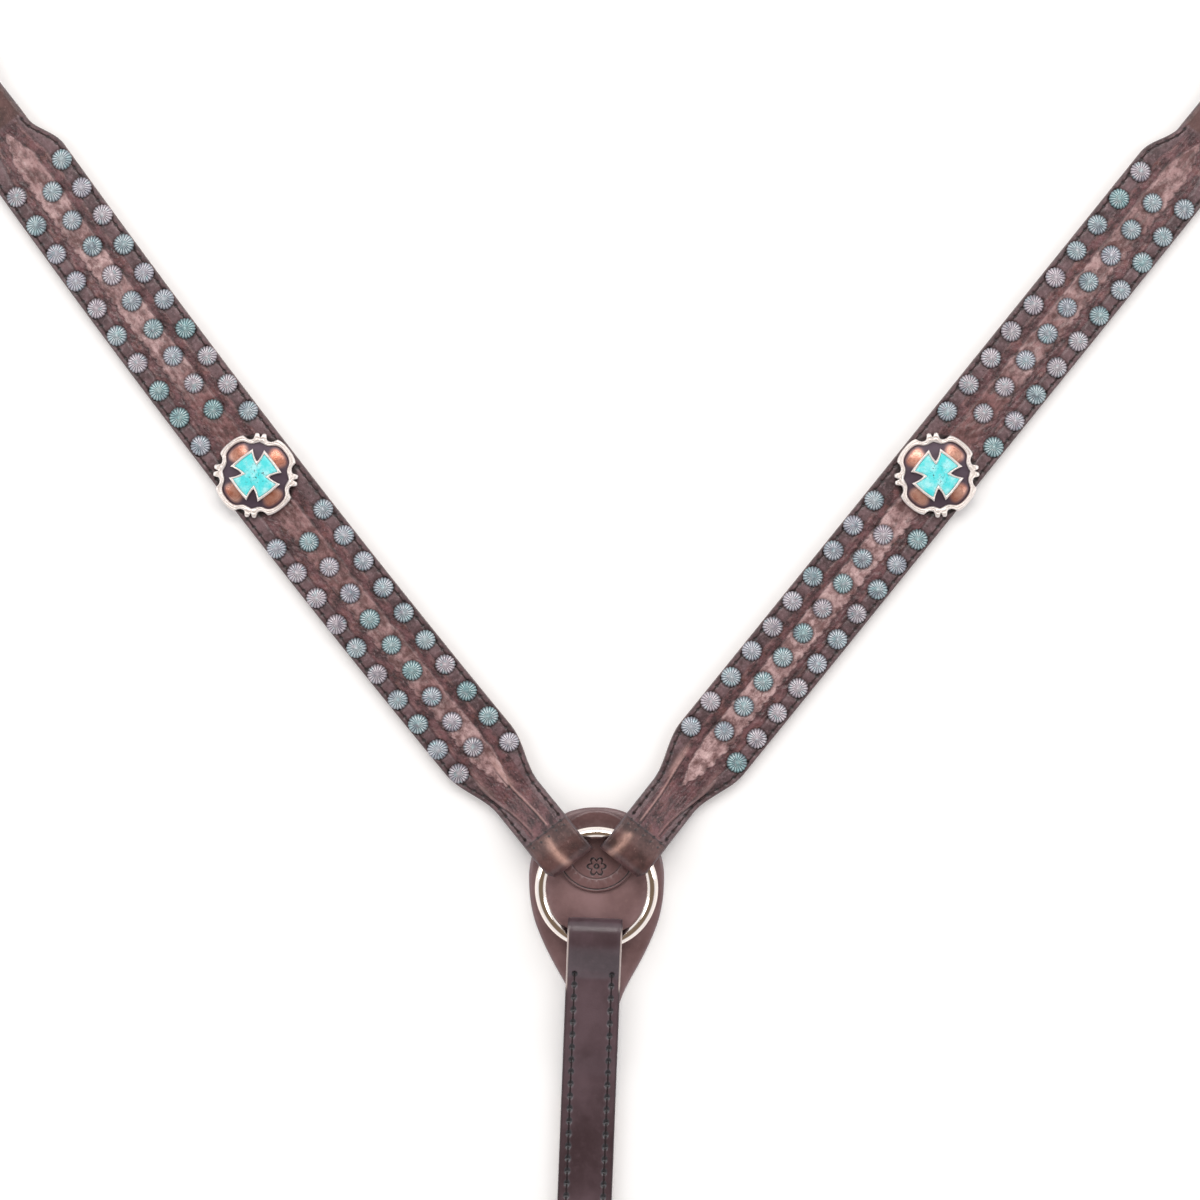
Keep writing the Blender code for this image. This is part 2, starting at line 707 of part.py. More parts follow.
def hook_outline():
    """Outer edge of the hook in (s, w), going round to the tip and back along the inside."""
    s0 = SNAP_BAR_S
    outer = [(22, 5.2), (24, 8.0), (30, 12.0), (38, 14.2), (52, 14.6), (60, 13.6), (66, 10.4), (70, 5.6)]
    outer += [(71.5, 0.0), (70, -5.6), (66, -10.2), (61.5, -13.0), (57.1, -13.6), (57.1, -8.2)]
    inner = [(60.5, -6.4), (63.6, -3.4), (64.8, 0.0), (63.6, 4.0), (59.6, 7.2), (52, 8.2), (40, 8.0), (35.5, 5.6)]
    inner += [(34.4, 0.0), (35.2, -5.0), (37.0, -8.0), (37.0, -13.0), (30, -11.4), (24, -8.0), (22, -5.2)]
    return [(s0 + s, w) for s, w in outer + inner]


def make_hook(lay):
    z = (BAR_Z - HOOK_T / 2, BAR_Z + HOOK_T / 2)
    hook = prism("snap_hook", hook_outline(), z[0], z[1], "nickel", lay.point)

    def at(s, w=0.0, rise=0.0):
        return mm(lay.point(SNAP_BAR_S + s, w, BAR_Z + rise))

    combine(hook, rod("collar", at(16.2), at(23.2), COLLAR_R, 16), "UNION")
    combine(hook, rod("barrel", at(26.0, BOLT_W), at(44.0, BOLT_W), BOLT_R + 2.3, 16), "UNION")
    combine(hook, box("room", lay, (SNAP_BAR_S + 22.9, SNAP_BAR_S + 28.0), (-4.9, 4.9), (-5, 15)), "DIFFERENCE")
    combine(hook, rod("bore", at(15.0), at(24.0), STEM_R + GAP, 16), "DIFFERENCE")
    combine(hook, rod("bore", at(28.0, BOLT_W), at(46.0, BOLT_W), BOLT_R + GAP, 16), "DIFFERENCE")
    slot = (BOLT_W - 1.6, BOLT_W + 1.6)
    combine(hook, box("slot", lay, (SNAP_BAR_S + 29.0, SNAP_BAR_S + 42.4), slot, (BAR_Z, 15)), "DIFFERENCE")
    return hook


def make_bolt(lay):
    def at(s, rise=0.0):
        return mm(lay.point(SNAP_BAR_S + s, BOLT_W, BAR_Z + rise))

    bolt = rod("snap_bolt", at(38.6), at(56.8), BOLT_R, 14)
    combine(bolt, rod("neck", at(40.6, 0.4), at(40.6, 7.2), 1.25, 12), "UNION")
    combine(bolt, rod("thumb", at(40.6, 5.4), at(40.6, 7.6), 3.0, 16), "UNION")
    return bolt


def main():
    for old in list(bpy.data.objects):
        bpy.data.objects.remove(old, do_unlink=True)
    make_safe()
    make_patch()
    make_ring()
    for name, lie in SHOULDERS.items():
        lay = shoulder_lay(lie["side"], lie["angle"], lie["bow"])
        make_shoulder(name, lay)
        make_spots(name, lay)
        make_concho(name, lay)
        make_loop(name, lay)
        make_tug(name, lay)
    lay = belly_lay()
    make_belly(lay)
    make_snap_eye(lay)
    make_hook(lay)
    make_bolt(lay)


main()
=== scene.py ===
"""Looks of a western breastplate: tooled straps, spots, conchos, centre ring, belly strap and fittings.

Sizes are in millimetres until a mesh is made. Every strap is laid out in its own frame: s runs along it
from the centre of the ring, w runs across it (outwards on a shoulder strap) and z is up.
"""

import math

import bmesh
import bpy
import numpy as np
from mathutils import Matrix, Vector


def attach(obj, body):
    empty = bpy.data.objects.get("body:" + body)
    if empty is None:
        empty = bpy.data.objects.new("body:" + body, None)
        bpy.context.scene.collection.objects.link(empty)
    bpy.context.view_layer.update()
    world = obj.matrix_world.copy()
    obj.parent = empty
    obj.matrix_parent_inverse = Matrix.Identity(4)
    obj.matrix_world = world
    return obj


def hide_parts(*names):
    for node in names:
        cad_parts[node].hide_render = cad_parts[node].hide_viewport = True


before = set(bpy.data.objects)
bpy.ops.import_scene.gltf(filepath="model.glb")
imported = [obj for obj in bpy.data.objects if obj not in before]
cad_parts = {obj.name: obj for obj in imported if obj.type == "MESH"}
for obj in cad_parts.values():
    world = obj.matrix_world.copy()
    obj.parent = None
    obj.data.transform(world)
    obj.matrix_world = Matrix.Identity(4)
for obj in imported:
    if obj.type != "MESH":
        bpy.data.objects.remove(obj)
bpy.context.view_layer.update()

MM = 0.001
GAP = 0.3

# Leather and stacking heights, as in the solids
FACE_T = 3.0
LINING_T = 2.4
SAFE_T = 3.0
PATCH_T = 1.8
PATCH_Z = SAFE_T + GAP
PATCH_TOP = PATCH_Z + PATCH_T
PATCH_Y = 16.8
PATCH_R = 19.2
RING_MID = 25.8
RING_WIRE = 2.8
TAIL_Z = PATCH_TOP + GAP + LINING_T / 2
RING_Z = TAIL_Z + LINING_T / 2 + GAP + RING_WIRE
FLAT_TAIL_Z = LINING_T / 2
FLAT_FACE_Z = LINING_T + GAP + FACE_T / 2
FACE_TOP = LINING_T + GAP + FACE_T
LAYER_STEP = (LINING_T + FACE_T) / 2 + GAP

# Shoulder straps
SHOULDERS = {  # how each lies, where its fold loop gets a painted highlight, and where its tooling gets painted highlights
    "left": {
        "side": -1, "angle": 37.9, "bow": 5.0, "seed": 11,
        "rub": (15.0, 34.0, 2.0), "neck": (-2.2, -1.2, 5.5), "lit": (0.55, 0.15, 0.6),
    },
    "right": {
        "side": 1, "angle": 38.9, "bow": 0.3, "seed": 23,
        "rub": (11.0, 31.0, -5.6), "neck": (-4.7, -8.2, 5.9), "lit": (0.85, 1.0, 0.4),
    },
}
SHIFT = 1.2
NECK_HALF = 12.1
BODY_HALF = 19.0
FLARE = (55.0, 84.0)
UPPER_TAPER = (426.0, 446.0)
FOLD_S = 21.4
PINCH = 1.8
TAIL_END = 60.0
TOP_BAR_S = 484.0
TOP_TAIL_END = 455.0

# Spots
SPOT_R = 4.7
SPOTS = {"outer": 10, "middle": 9, "inner": 10}
ROWS = {  # of each row, where along the strap its first and last spot lie, and how far across
    "left": {
        "lower": {
            "outer": (81.0, 216.0, 14.2), "middle": (86.4, 208.8, 0.7), "inner": (78.4, 217.2, -13.6),
        },
        "upper": {
            "outer": (275.6, 418.8, 13.4), "middle": (284.6, 410.6, -1.7), "inner": (274.2, 420.0, -14.3),
        },
    },
    "right": {
        "lower": {
            "outer": (86.0, 219.6, 13.1), "middle": (93.6, 211.4, -1.0), "inner": (85.4, 221.2, -14.1),
        },
        "upper": {
            "outer": (275.0, 417.0, 13.6), "middle": (284.8, 410.0, 0.0), "inner": (275.0, 418.0, -13.4),
        },
    },
}

# Conchos
CONCHO_S = 248.4
CONCHO_W = 1.2
CONCHO_R = 19.5
CONCHO_EDGE = FACE_TOP + GAP + 0.8
CONCHO_TOP = CONCHO_EDGE + 2.4
CROSS_END = 10.4
CROSS_HALF_END = 6.7
CROSS_NOTCH = 4.6
CROSS_EDGE = 1.3

# Belly strap
BELLY_LEAN = 2.2
BELLY_HALF = 12.7
BELLY_FOLD_S = 20.3
BELLY_FRONT_Z = RING_Z + RING_WIRE + 1.9 + FACE_T / 2
BELLY_TAIL_END = 98.0
BELLY_END_HALF = 12.0
SNAP_BAR_S = 250.0
BELLY_END_TAIL = 216.0

# Fittings at the strap ends
WIRE_R = 2.5
BAR_Z = LINING_T + GAP + WIRE_R
LOOP_SPAN = 21.0
LOOP_HALF = 15.6
TUG_HALF = 11.0
TUG_T = 2.4
TUG_BAR_S = TOP_BAR_S + LOOP_SPAN
HEEL_S = TUG_BAR_S + 42.0
HEEL_Z = 7.8
BUCKLE_WIRE = 2.0
BUCKLE_SPAN = 24.0
BUCKLE_HALF = 13.5
TONGUE_R = 1.4
TUG_FAR_S = 645.0
TUG_EYE = 8.0
EYE_SPAN = 13.0
EYE_HALF = 15.4
HOOK_T = 9.0
BOLT_W = -11.0
KEEPER_Z = 11.1

# Snap: distances along it from its bar
STEM_HEAD_ROOM = (22.9, 28.0)
BOLT_BORE = (28.0, 46.0)
BOLT_SLOT = (29.0, 42.4)
BORE_R = 2.75
KNOB_S = 40.6

# Tooling and sewing on the shoulder straps
STITCH_IN = 2.3
STITCH_STEP = 4.7
STITCHED = (37.5, 446.0)
TOOLED = (34.5, 449.0)
BAND_HALF = 5.5
SCALLOP = 5.0

# The safe's edge from its bottom up to its top face: inset, height, and how burnished it is there
SAFE_EDGE = ((1.0, 0.0, 0.3), (0.25, 0.3, 1.0), (0.0, 0.9, 1.0), (0.1, 1.4, 1.0), (0.5, 1.8, 0.8))
SAFE_EDGE += ((1.1, 2.05, 0.5), (2.0, 2.25, 0.35))

# Profile of a spot: share of its radius, height
SPOT_PROFILE = ((1.0, 0.0), (1.01, 0.4), (0.98, 0.85), (0.91, 1.28), (0.81, 1.64), (0.67, 1.95), (0.5, 2.18))
SPOT_PROFILE += ((0.33, 2.32), (0.18, 2.38), (0.09, 2.4), (0.02, 2.38))

# Sewing on the belly strap
BELLY_STITCH_IN = 4.1
BELLY_STITCH_STEP = 5.8
BELLY_STITCHED = (39.5, 242.0)


# Numbers


def ease(x, low, high):
    """Goes smoothly from 0 to 1 as x goes from low to high."""
    f = np.clip((np.asarray(x, float) - low) / (high - low), 0.0, 1.0)
    return f * f * (3 - 2 * f)


def bump(x, width):
    return np.exp(-((x / width) ** 2))


def window(x, a, b, c, d):
    """Rises from a to b and falls from c to d."""
    return ease(x, a, b) * (1 - ease(x, c, d))


def arc(s, z, radius, start, end, count):
    turns = np.radians(np.linspace(start, end, count))
    return [(s + radius * math.cos(a), z + radius * math.sin(a)) for a in turns]


def ripple(x, y, seed, size):
    """Smooth, repeatable unevenness of about -1 to 1, with features about size across."""
    draw = np.random.RandomState(seed)
    total = 0.0
    for _ in range(6):
        angle, shift = draw.uniform(0, 2 * math.pi, 2)
        step = 2 * math.pi / (size * draw.uniform(0.7, 1.6))
        total = total + np.sin((x * math.cos(angle) + y * math.sin(angle)) * step + shift)
    return total / 3.2


def fold_pinch(s):
    """How far the leather's outer edge draws in where a shoulder strap folds over the ring, 0 to 1."""
    return (1 - ease(s, FOLD_S - 5.5, FOLD_S + 1.0)) ** 2


class Lay:
    """The frame of one strap: maps (s, w, z) to world metres."""

    def __init__(self, along, across, shift=0.0, bow=0.0, length=450.0, tuck=0.0):
        self.along = np.array(along)
        self.across = np.array(across)
        self.shift = shift
        self.bow = bow
        self.length = length
        self.tuck = tuck

    def points(self, s, w, z):
        s, w, z = np.broadcast_arrays(np.asarray(s, float), w, z)
        f = np.clip(s / self.length, 0.0, 1.0)
        off = w + self.shift + self.bow * 4 * f * (1 - f) - self.tuck * fold_pinch(s)
        x = self.along[0] * s + self.across[0] * off
        y = self.along[1] * s + self.across[1] * off
        return np.stack([x, y, z], -1) * MM


def shoulder_lay(lie):
    a = math.radians(lie["angle"])
    side = lie["side"]
    along = (side * math.sin(a), math.cos(a))
    return Lay(along, (side * math.cos(a), -math.sin(a)), SHIFT, lie["bow"], tuck=PINCH / 2)


def belly_lay():
    a = math.radians(BELLY_LEAN)
    return Lay((-math.sin(a), -math.cos(a)), (-math.cos(a), math.sin(a)))


# Meshes


def build(name, verts, faces, finish, smooth=True, marks=None):
    """A mesh object from points in metres; marks are named numbers on its points that its finish reads."""
    mesh = bpy.data.meshes.new(name)
    mesh.from_pydata(np.asarray(verts).reshape(-1, 3).tolist(), [], [tuple(f) for f in faces])
    piece = bpy.data.objects.new(name, mesh)
    bpy.context.collection.objects.link(piece)
    for key, values in (marks or {}).items():
        layer = mesh.attributes.new(key, "FLOAT", "POINT")
        layer.data.foreach_set("value", np.asarray(values, np.float32).ravel())
    work = bmesh.new()
    work.from_mesh(mesh)
    bmesh.ops.recalc_face_normals(work, faces=work.faces)
    work.to_mesh(mesh)
    work.free()
    mesh.polygons.foreach_set("use_smooth", [smooth] * len(mesh.polygons))
    mesh.materials.append(finish)
    return piece


def skin(name, rings, finish, closed=False, smooth=True, marks=None):
    """A mesh over rings of points, given as an array of (rings, sides, 3)."""
    rings = np.asarray(rings)
    return build(name, rings, tube_faces(rings.shape[0], rings.shape[1], closed), finish, smooth, marks)


def tube_faces(rings, sides, closed, start=0):
    """Quads that join each ring of points to the next, with end caps where the run is open."""
    i = np.arange(rings if closed else rings - 1)[:, None]
    k = np.arange(sides)[None, :]
    after = (i + 1) % rings
    beside = (k + 1) % sides
    quads = np.stack([i * sides + k, i * sides + beside, after * sides + beside, after * sides + k], -1)
    faces = (quads.reshape(-1, 4) + start).tolist()
    if not closed:
        faces += [[start + first + n for n in range(sides)] for first in (0, (rings - 1) * sides)]
    return faces


class Shells:
    """Collects many small shells that go into one piece."""

    def __init__(self):
        self.verts = []
        self.faces = []
        self.tints = []
        self.count = 0

    def add(self, rings, closed=False, tint=0.0):
        """rings is an array of (rings, sides, 3); tint is one number for the whole shell."""
        rings = np.asarray(rings)
        points = rings.shape[0] * rings.shape[1]
        self.faces += tube_faces(rings.shape[0], rings.shape[1], closed, self.count)
        self.verts.append(rings.reshape(-1, 3))
        self.tints.append(np.full(points, tint))
        self.count += points

    def piece(self, name, finish, marks=None):
        marks = {"tint": np.concatenate(self.tints)} | (marks or {})
        return build(name, np.concatenate(self.verts), self.faces, finish, True, marks)


def sweep(points, radius, sides, closed, squash=1.0):
    """Rings of a wire of round or flattened section along points in metres."""
    p = np.asarray(points, float)
    if closed:
        tangent = np.roll(p, -1, 0) - np.roll(p, 1, 0)
    else:
        tangent = np.gradient(p, axis=0)
    tangent /= np.linalg.norm(tangent, axis=1)[:, None]
    level = np.cross([0.0, 0.0, 1.0], tangent)
    level /= np.linalg.norm(level, axis=1)[:, None]
    up = np.cross(tangent, level)
    a = np.linspace(0, 2 * math.pi, sides, endpoint=False)[None, :, None]
    r = np.broadcast_to(np.asarray(radius, float), (len(p),))[:, None, None] * MM
    return p[:, None, :] + (level[:, None, :] * np.cos(a) + up[:, None, :] * np.sin(a) * squash) * r


def lathe_rings(profile, centre, sides):
    """Rings of a shape turned about a vertical line; profile is a list of (r, z)."""
    a = np.linspace(0, 2 * math.pi, sides, endpoint=False)
    rings = []
    for r, z in profile:
        r = max(r, 0.01)
        ring = np.stack([centre[0] + r * np.cos(a), centre[1] + r * np.sin(a), np.full(sides, z)], -1)
        rings.append(ring * MM)
    return np.array(rings)


def settle(piece, body, slot, *replaced):
    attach(piece, body)
    if replaced:
        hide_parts(*replaced)


def apply_modifiers(piece):
    made = bpy.data.meshes.new_from_object(piece.evaluated_get(bpy.context.evaluated_depsgraph_get()))
    piece.modifiers.clear()
    piece.data = made


def cut(piece, cutter):
    """Cuts one mesh out of another."""
    step = piece.modifiers.new("cut", "BOOLEAN")
    step.operation = "DIFFERENCE"
    step.solver = "EXACT"
    step.object = cutter
    apply_modifiers(piece)
    bpy.data.objects.remove(cutter, do_unlink=True)


def rounded_box(half_x, half_y, radius, count):
    points = []
    for quarter, (sx, sy) in enumerate(((1, 1), (-1, 1), (-1, -1), (1, -1))):
        middle = sx * (half_x - radius), sy * (half_y - radius)
        points += arc(*middle, radius, 90 * quarter, 90 * quarter + 90, count)
    return spread(np.array(points), 1.2)


def spread(points, step):
    """Points at even steps along a closed line."""
    p = np.concatenate([points, points[:1]])
    at = np.concatenate([[0], np.cumsum(np.linalg.norm(np.diff(p, axis=0), axis=1))])
    want = np.linspace(0, at[-1], max(int(round(at[-1] / step)), 3), endpoint=False)
    return np.stack([np.interp(want, at, p[:, i]) for i in range(2)], -1)


def curve_through(points, per_span):
    """A smooth closed line through points (Catmull-Rom)."""
    p = np.asarray(points, float)
    t = np.linspace(0, 1, per_span, endpoint=False)[:, None]
    out = []
    for i in range(len(p)):
        a, b, c, d = (p[(i + k) % len(p)] for k in (-1, 0, 1, 2))
        square, cube = 2 * a - 5 * b + 4 * c - d, 3 * b - a - 3 * c + d
        out.append(0.5 * (2 * b + (c - a) * t + square * t**2 + cube * t**3))
    return np.concatenate(out)


# Shader maths


def arithmetic(operation, reflected=False):
    """A Python operator on a Value that adds a Math node."""

    def apply(self, other):
        pair = (other, self) if reflected else (self, other)
        return self.math(operation, *pair)

    return apply


class Value:
    """A shader socket that works in Python arithmetic: each operation adds a Math node."""

    __add__, __radd__ = arithmetic("ADD"), arithmetic("ADD", True)
    __sub__, __rsub__ = arithmetic("SUBTRACT"), arithmetic("SUBTRACT", True)
    __mul__, __rmul__ = arithmetic("MULTIPLY"), arithmetic("MULTIPLY", True)

    def __init__(self, nodes, socket):
        self.nodes = nodes
        self.socket = socket

    def math(self, operation, *values):
        return self.nodes.add("ShaderNodeMath", {"operation": operation}, dict(enumerate(values)))

    def clamped(self):
        return self.math("MINIMUM", self.math("MAXIMUM", self, 0.0), 1.0)

    def step(self, low, high):
        """Smoothly 0 at low and 1 at high."""
        inputs = {"Value": self, "From Min": low, "From Max": high, "To Min": 0.0, "To Max": 1.0}
        return self.nodes.add("ShaderNodeMapRange", {"interpolation_type": "SMOOTHSTEP"}, inputs)


class Nodes:
    """A node tree that is built one node at a time."""

    def __init__(self, tree):
        self.tree = tree
        self.tree.nodes.clear()

    def add(self, kind, settings=None, inputs=None, output=0):
        node = self.tree.nodes.new(kind)
        for key, value in (settings or {}).items():
            if key == "stops":
                self.set_stops(node.color_ramp, value)
            else:
                setattr(node, key, value)
        for key, value in (inputs or {}).items():
            if isinstance(value, Value):
                self.tree.links.new(value.socket, node.inputs[key])
            else:
                node.inputs[key].default_value = value
        return Value(self, node.outputs[output]) if node.outputs else None

    @staticmethod
    def set_stops(ramp, stops):
        while len(ramp.elements) < len(stops):
            ramp.elements.new(0.5)
        for element, (position, colour) in zip(ramp.elements, stops):
            element.position = position
            element.color = (*colour, 1.0)

    def mix(self, factor, a, b):
        a = (*a, 1.0) if isinstance(a, tuple) else a
        b = (*b, 1.0) if isinstance(b, tuple) else b
        settings = {"data_type": "RGBA", "clamp_factor": True}
        return self.add("ShaderNodeMix", settings, {0: factor, 6: a, 7: b}, 2)


    def over(self, colour, *layers):
        """Lays colours over one another, each where its factor is high."""
        for factor, layer in layers:
            colour = self.mix(factor, colour, layer)
        return colour


class Finish(Nodes):
    """A material built from nodes."""

    def __init__(self, name):
        self.material = bpy.data.materials.new(name)
        self.material.use_nodes = True
        super().__init__(self.material.node_tree)
        self.place = self.add("ShaderNodeTexCoord", output="Object")

    def mark(self, name):
        return self.add("ShaderNodeAttribute", {"attribute_name": name}, output="Fac")

    def noise(self, size, detail=3.0, roughness=0.5, where=None, stretch=None, seed=0.0):
        """Noise with features about size across, in mm."""
        where = where or self.place
        if stretch:
            where = self.add("ShaderNodeVectorMath", {"operation": "MULTIPLY"}, {0: where, 1: stretch})
        inputs = {"Vector": where, "W": seed, "Scale": 1000.0 / size}
        inputs |= {"Detail": detail, "Roughness": roughness}
        return self.add("ShaderNodeTexNoise", {"noise_dimensions": "4D"}, inputs)

    def cells(self, size, seed):
        """Distance from the middle of the nearest cell; the cells are about size across, in mm."""
        inputs = {"Vector": self.place, "W": seed, "Scale": 1000.0 / size}
        return self.add("ShaderNodeTexVoronoi", {"voronoi_dimensions": "4D"}, inputs, "Distance")

    def strap_place(self):
        """A position that follows a strap: along it and across it, in metres."""
        return self.add("ShaderNodeCombineXYZ", None, {0: self.mark("along"), 1: self.mark("across"), 2: 0.0})

    def bumped(self, height, distance, strength):
        inputs = {"Height": height, "Distance": distance * MM, "Strength": strength}
        return self.add("ShaderNodeBump", None, inputs)

    def surface(self, **inputs):
        keyed = {key.replace("_", " "): value for key, value in inputs.items()}
        shader = self.add("ShaderNodeBsdfPrincipled", None, keyed)
        self.add("ShaderNodeOutputMaterial", None, {"Surface": shader})
        return self.material


# Finishes


def leather_grain(f, seed):
    """Fine pebbled grain with a few long creases."""
    pebble = f.cells(0.75, seed)
    fine = f.noise(0.35, 2.0, seed=seed + 1)
    crease = f.noise(5.0, 4.0, 0.6, seed=seed + 2)
    return pebble * 0.5 + fine * 0.35 + crease * 0.8


def tooled_leather():
    """Antiqued tooled leather: dark where the dye settled in the cuts, with painted shade in the awl holes
    and painted shadow round the spots, and paler raised parts with painted highlights where they catch the
    light.
    """
    f = Finish("tooled_leather")
    band, ground, lit = f.mark("band"), f.mark("ground"), f.mark("lit")
    where = f.strap_place()
    patchy = f.noise(8.0, 4.0, 0.6, seed=1.0)
    streak = f.noise(3.4, 4.0, 0.7, where=where, stretch=(0.6, 1.0, 1.0), seed=2.0)
    stroke = f.noise(1.6, 3.0, 0.65, where=where, stretch=(0.8, 1.0, 1.0), seed=6.0)
    blotch = f.noise(5.5, 4.0, 0.72, seed=9.0)
    mottle = f.noise(1.8, 3.0, 0.7, seed=4.0)
    margin = f.over(
        f.mix(patchy.step(0.3, 0.7), (0.052, 0.028, 0.032), (0.165, 0.094, 0.103)),
        (mottle.step(0.5, 0.7) * 0.6, (0.26, 0.17, 0.185)),
        (mottle.step(0.44, 0.3) * 0.7, (0.03, 0.015, 0.016)),
        (stroke.step(0.56, 0.7) * 0.5, (0.21, 0.11, 0.115)),
        (blotch.step(0.5, 0.34) * 0.6, (0.05, 0.02, 0.022)),
    )
    field = f.over(
        f.mix(streak.step(0.34, 0.64), (0.026, 0.009, 0.011), (0.165, 0.068, 0.075)),
        (stroke.step(0.56, 0.72) * 0.75, (0.33, 0.19, 0.2)),
        (stroke.step(0.44, 0.3) * 0.7, (0.03, 0.011, 0.012)),
        (blotch.step(0.52, 0.66) * 0.35, (0.2, 0.07, 0.055)),
        (blotch.step(0.5, 0.36) * 0.5, (0.045, 0.016, 0.02)),
    )
    raised = f.over(
        f.mix(streak.step(0.36, 0.64), (0.06, 0.023, 0.023), (0.23, 0.105, 0.105)),
        (
            # painted highlight where the raised band catches the light
            (lit * (0.45 + patchy.step(0.3, 0.55) * 0.75)).clamped(),
            f.mix(streak.step(0.3, 0.66), (0.17, 0.078, 0.077), (0.6, 0.405, 0.4)),
        ),
        (mottle.step(0.42, 0.25) * 0.75, (0.1, 0.035, 0.033)),
        (blotch.step(0.5, 0.38) * 0.65, (0.085, 0.03, 0.028)),
        # painted highlight: the brightest patches on the raised band
        (blotch.step(0.54, 0.64) * lit * 0.55, (0.74, 0.54, 0.52)),
    )
    bent = f.over(
        f.mix(patchy.step(0.3, 0.7), (0.034, 0.012, 0.011), (0.12, 0.053, 0.049)),
        (stroke.step(0.55, 0.75) * 0.4, (0.3, 0.17, 0.155)),
    )
    rub = f.mark("rub") * (0.15 + patchy.step(0.3, 0.6) * 0.5 + streak.step(0.35, 0.65) * 0.4)
    colour = f.over(
        margin,
        (ground, field),
        (f.mark("fold"), bent),
        (band, raised),
        ((f.mark("leaf") * (0.4 + streak * 0.6)).clamped(), (0.55, 0.33, 0.3)),
        # painted highlight along the crown of the fold loop
        (rub.clamped(), (0.56, 0.33, 0.27)),
        # dark in the low places: dye in the knife cuts, painted shade in the awl holes, painted shadow round
        # the spots and under the concho
        (f.mark("low").step(0.08, 0.6) * 0.92, (0.014, 0.007, 0.008)),
        (f.mark("edge") * 0.6, (0.07, 0.05, 0.052)),
    )
    height = leather_grain(f, 7.0) * 0.3 + f.cells(1.1, 3.0) * ground * 0.9
    height = height + streak * 0.8 + stroke * ground + mottle * 0.8
    return f.surface(
        Base_Color=colour,
        Roughness=0.36 + mottle * 0.2 + ground * 0.06,
        Specular_IOR_Level=0.45,
        Coat_Weight=0.25,
        Coat_Roughness=0.18,
        Normal=f.bumped(height, 0.32, 0.9),
    )


def plain_leather(name, dark, light, sheen, seed):
    """Smooth oiled strap leather."""
    f = Finish(name)
    edge = f.mark("edge")
    patchy = f.noise(22.0, 4.0, 0.55, seed=seed)
    mottle = f.noise(3.0, 3.0, 0.6, seed=seed + 1)
    scuff = f.noise(1.2, 3.0, 0.7, stretch=(1.0, 0.15, 1.0), seed=seed + 4).step(0.6, 0.8)
    colour = f.over(
        f.mix(patchy.step(0.25, 0.75), dark, light),
        (mottle.step(0.45, 0.8) * 0.35, light),
        # painted shade in the awl holes and stitch grooves; on the patch, darker in its stamped hollows
        (f.mark("low").step(0.12, 0.5) * 0.9, (0.008, 0.006, 0.007)),
        (edge * 0.75, tuple(c * 0.75 for c in dark)),
        (f.mark("raw"), (0.5, 0.4, 0.36)),
    )
    return f.surface(
        Base_Color=colour,
        Roughness=0.3 + patchy * 0.16 + scuff * 0.1 + edge * 0.1,
        Specular_IOR_Level=0.5,
        Coat_Weight=sheen,
        Coat_Roughness=0.22,
        Coat_Tint=(0.85, 0.9, 1.0, 1.0),
        Normal=f.bumped(leather_grain(f, seed + 6), 0.1, 0.6),
    )


def lining_leather():
    """The rough flesh side of leather."""
    f = Finish("lining_leather")
    nap = f.noise(0.6, 4.0, 0.7, seed=40.0)
    patchy = f.noise(18.0, 3.0, 0.6, seed=41.0)
    fibre = f.noise(1.4, 4.0, 0.7, stretch=(0.4, 1.0, 1.0), seed=42.0)
    colour = f.over(
        f.mix(patchy, (0.2, 0.1, 0.06), (0.31, 0.17, 0.105)),
        (fibre.step(0.45, 0.75) * 0.5, (0.4, 0.25, 0.16)),
        (f.mark("edge") * 0.6, (0.07, 0.035, 0.03)),
    )
    return f.surface(
        Base_Color=colour,
        Roughness=0.85 + nap * 0.1,
        Sheen_Weight=0.25,
        Normal=f.bumped(nap + fibre, 0.25, 0.8),
    )


def thread(name, colour, dark):
    f = Finish(name)
    twist = f.noise(0.35, 2.0, seed=50.0)
    shade = f.mix(twist.step(0.35, 0.7), dark, colour)
    return f.surface(
        Base_Color=shade,
        Roughness=0.65 + twist * 0.2,
        Specular_IOR_Level=0.3,
        Normal=f.bumped(twist, 0.08, 0.8),
    )


def nickel(name, dull, bright):
    f = Finish(name)
    cloud = f.noise(9.0, 3.0, 0.6, seed=60.0)
    scratch = f.noise(0.5, 2.0, 0.6, stretch=(1.0, 0.06, 1.0), seed=61.0).step(0.6, 0.75)
    colour = f.mix(cloud, dull, bright)
    rough = 0.07 + cloud * 0.06 + scratch * 0.1
    return f.surface(Base_Color=colour, Roughness=rough, Metallic=1.0, Normal=f.bumped(cloud, 0.05, 0.3))


def copper():
    """Copper blackened with patina except where it is rubbed bright."""
    f = Finish("copper")
    cloud = f.noise(7.0, 4.0, 0.6, seed=70.0)
    spot = f.noise(1.2, 3.0, 0.7, seed=71.0)
    bright = f.mix(cloud.step(0.3, 0.7), (0.5, 0.17, 0.1), (0.86, 0.5, 0.4))
    shade = (f.mark("dark") + spot.step(0.6, 0.8) * 0.25).clamped()
    colour = f.mix(shade, bright, (0.075, 0.05, 0.072))
    return f.surface(
        Base_Color=colour,
        Roughness=0.2 + shade * 0.2 + spot * 0.06,
        Metallic=0.65 - shade * 0.3,
        Normal=f.bumped(spot + cloud, 0.1, 0.6),
    )


